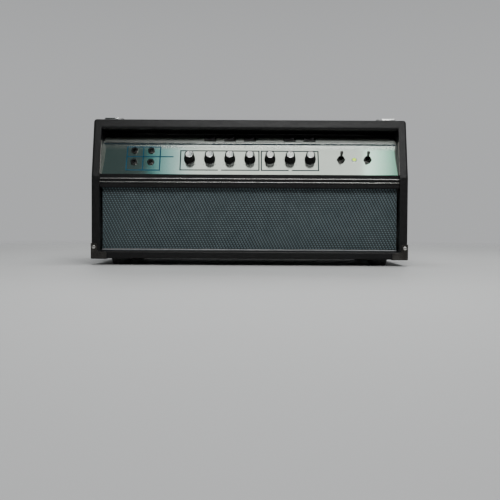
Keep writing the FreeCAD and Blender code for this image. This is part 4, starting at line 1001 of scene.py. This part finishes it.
def surroundings():
    """Pale at the horizon, dark above, and dark in front, where the panel mirrors it."""
    horizon, zenith, front = 0.5, 0.045, 0.12
    world = bpy.data.worlds.new("studio")
    world.use_nodes = True
    direction = node(world, "SeparateXYZ", {0: node(world, "TexCoord").outputs["Generated"]}).outputs
    heights = {
        "Value": direction["Z"], "From Min": 0.12, "From Max": 0.75, "To Min": horizon, "To Max": zenith,
    }
    fall = node(world, "MapRange", heights, interpolation_type="SMOOTHSTEP").outputs["Result"]
    ahead = between(world, direction["Y"], front, 1, -0.5, 0.3)
    high = between(world, direction["Z"], 0, 1, 0.3, 0.8)
    tint = blend_colours(world, high, (0.97, 0.985, 1), (0.7, 1.0, 1.0))
    background = world.node_tree.nodes["Background"]
    world.node_tree.links.new(math_node(world, "MULTIPLY", fall, ahead), background.inputs["Strength"])
    world.node_tree.links.new(tint, background.inputs["Color"])
    bpy.context.scene.world = world


def lights():
    key_strip("key_middle", -0.23, 0.44, (3.1, 0.96, 1, 0.94), steps=1)
    key_strip("key_right", 0.2, 0.44, (7.6, 1, 1, 1), steps=1)
    key_strip("key_left_edge", -0.4, -0.23, (0.25, 0.2, 1, 1), (3.1, 0.88, 1, 0.96))
    key_strip("key_right_edge", 0.44, 0.6, (6.4, 0.8, 1, 0.9), (0.4, 0.3, 1, 0.7))
    key_strip("key_dim_left", -0.86, -0.4, (0.18, 0.7, 1, 1), steps=1)
    for name, place, target, size, watts in (
        ("front_high", (0.2, -1.75, 1.35), (0.2, -0.14, 0.25), (1.0, 0.5), 22),
        ("overhead", (0.3, 0.15, 2.3), (0.3, 0, 0.2), (1.5, 1.0), 22),
        ("left", (-2.2, -1.0, 1.0), (0, 0, 0.1), (1.0, 1.2), 2),
        ("right", (2.3, -0.6, 1.0), (0, 0, 0.1), (1.0, 1.2), 6),
        ("back", (0, 2.2, 1.8), (0, 0, 0.2), (2.4, 1.0), 20),
    ):
        softbox(name, place, target, size, watts)


def floor():
    built = bmesh.new()
    bmesh.ops.create_circle(built, cap_ends=True, segments=96, radius=6.0)
    data = bpy.data.meshes.new("floor")
    built.to_mesh(data)
    built.free()
    data.materials.append(floor_paint())
    add_object("floor", data)


def floor_paint():
    """Pale matt floor, with a very soft unevenness, that fades into the pale surroundings far off."""
    made = material("pale_floor", (0.62, 0.62, 0.62), 0.55)
    drive(made, "Roughness", between(made, grain(made, 0.3, 3.0), 0.5, 0.62))
    tree = made.node_tree
    spot = node(made, "TexCoord").outputs["Object"]
    far = node(made, "VectorMath", {0: spot}, operation="LENGTH").outputs["Value"]
    reach = {"Value": far, "From Min": 0.45, "From Max": 2.4}
    fade = node(made, "MapRange", reach, interpolation_type="SMOOTHSTEP").outputs["Result"]
    paint = tree.nodes["Principled BSDF"].outputs[0]
    clear = node(made, "BsdfTransparent").outputs[0]
    mixed = node(made, "MixShader", {0: fade, 1: paint, 2: clear})
    tree.links.new(mixed.outputs[0], tree.nodes["Material Output"].inputs["Surface"])
    return made


camera()
surroundings()
lights()
floor()

# Nodes of the frame that no piece stands for
for name, thing in NODES.items():
    if not thing.hide_render:
        thing.data.materials.clear()
        thing.data.materials.append(PAINT[PAINT_INSTEAD.get(name, SLOT_OF[name])])
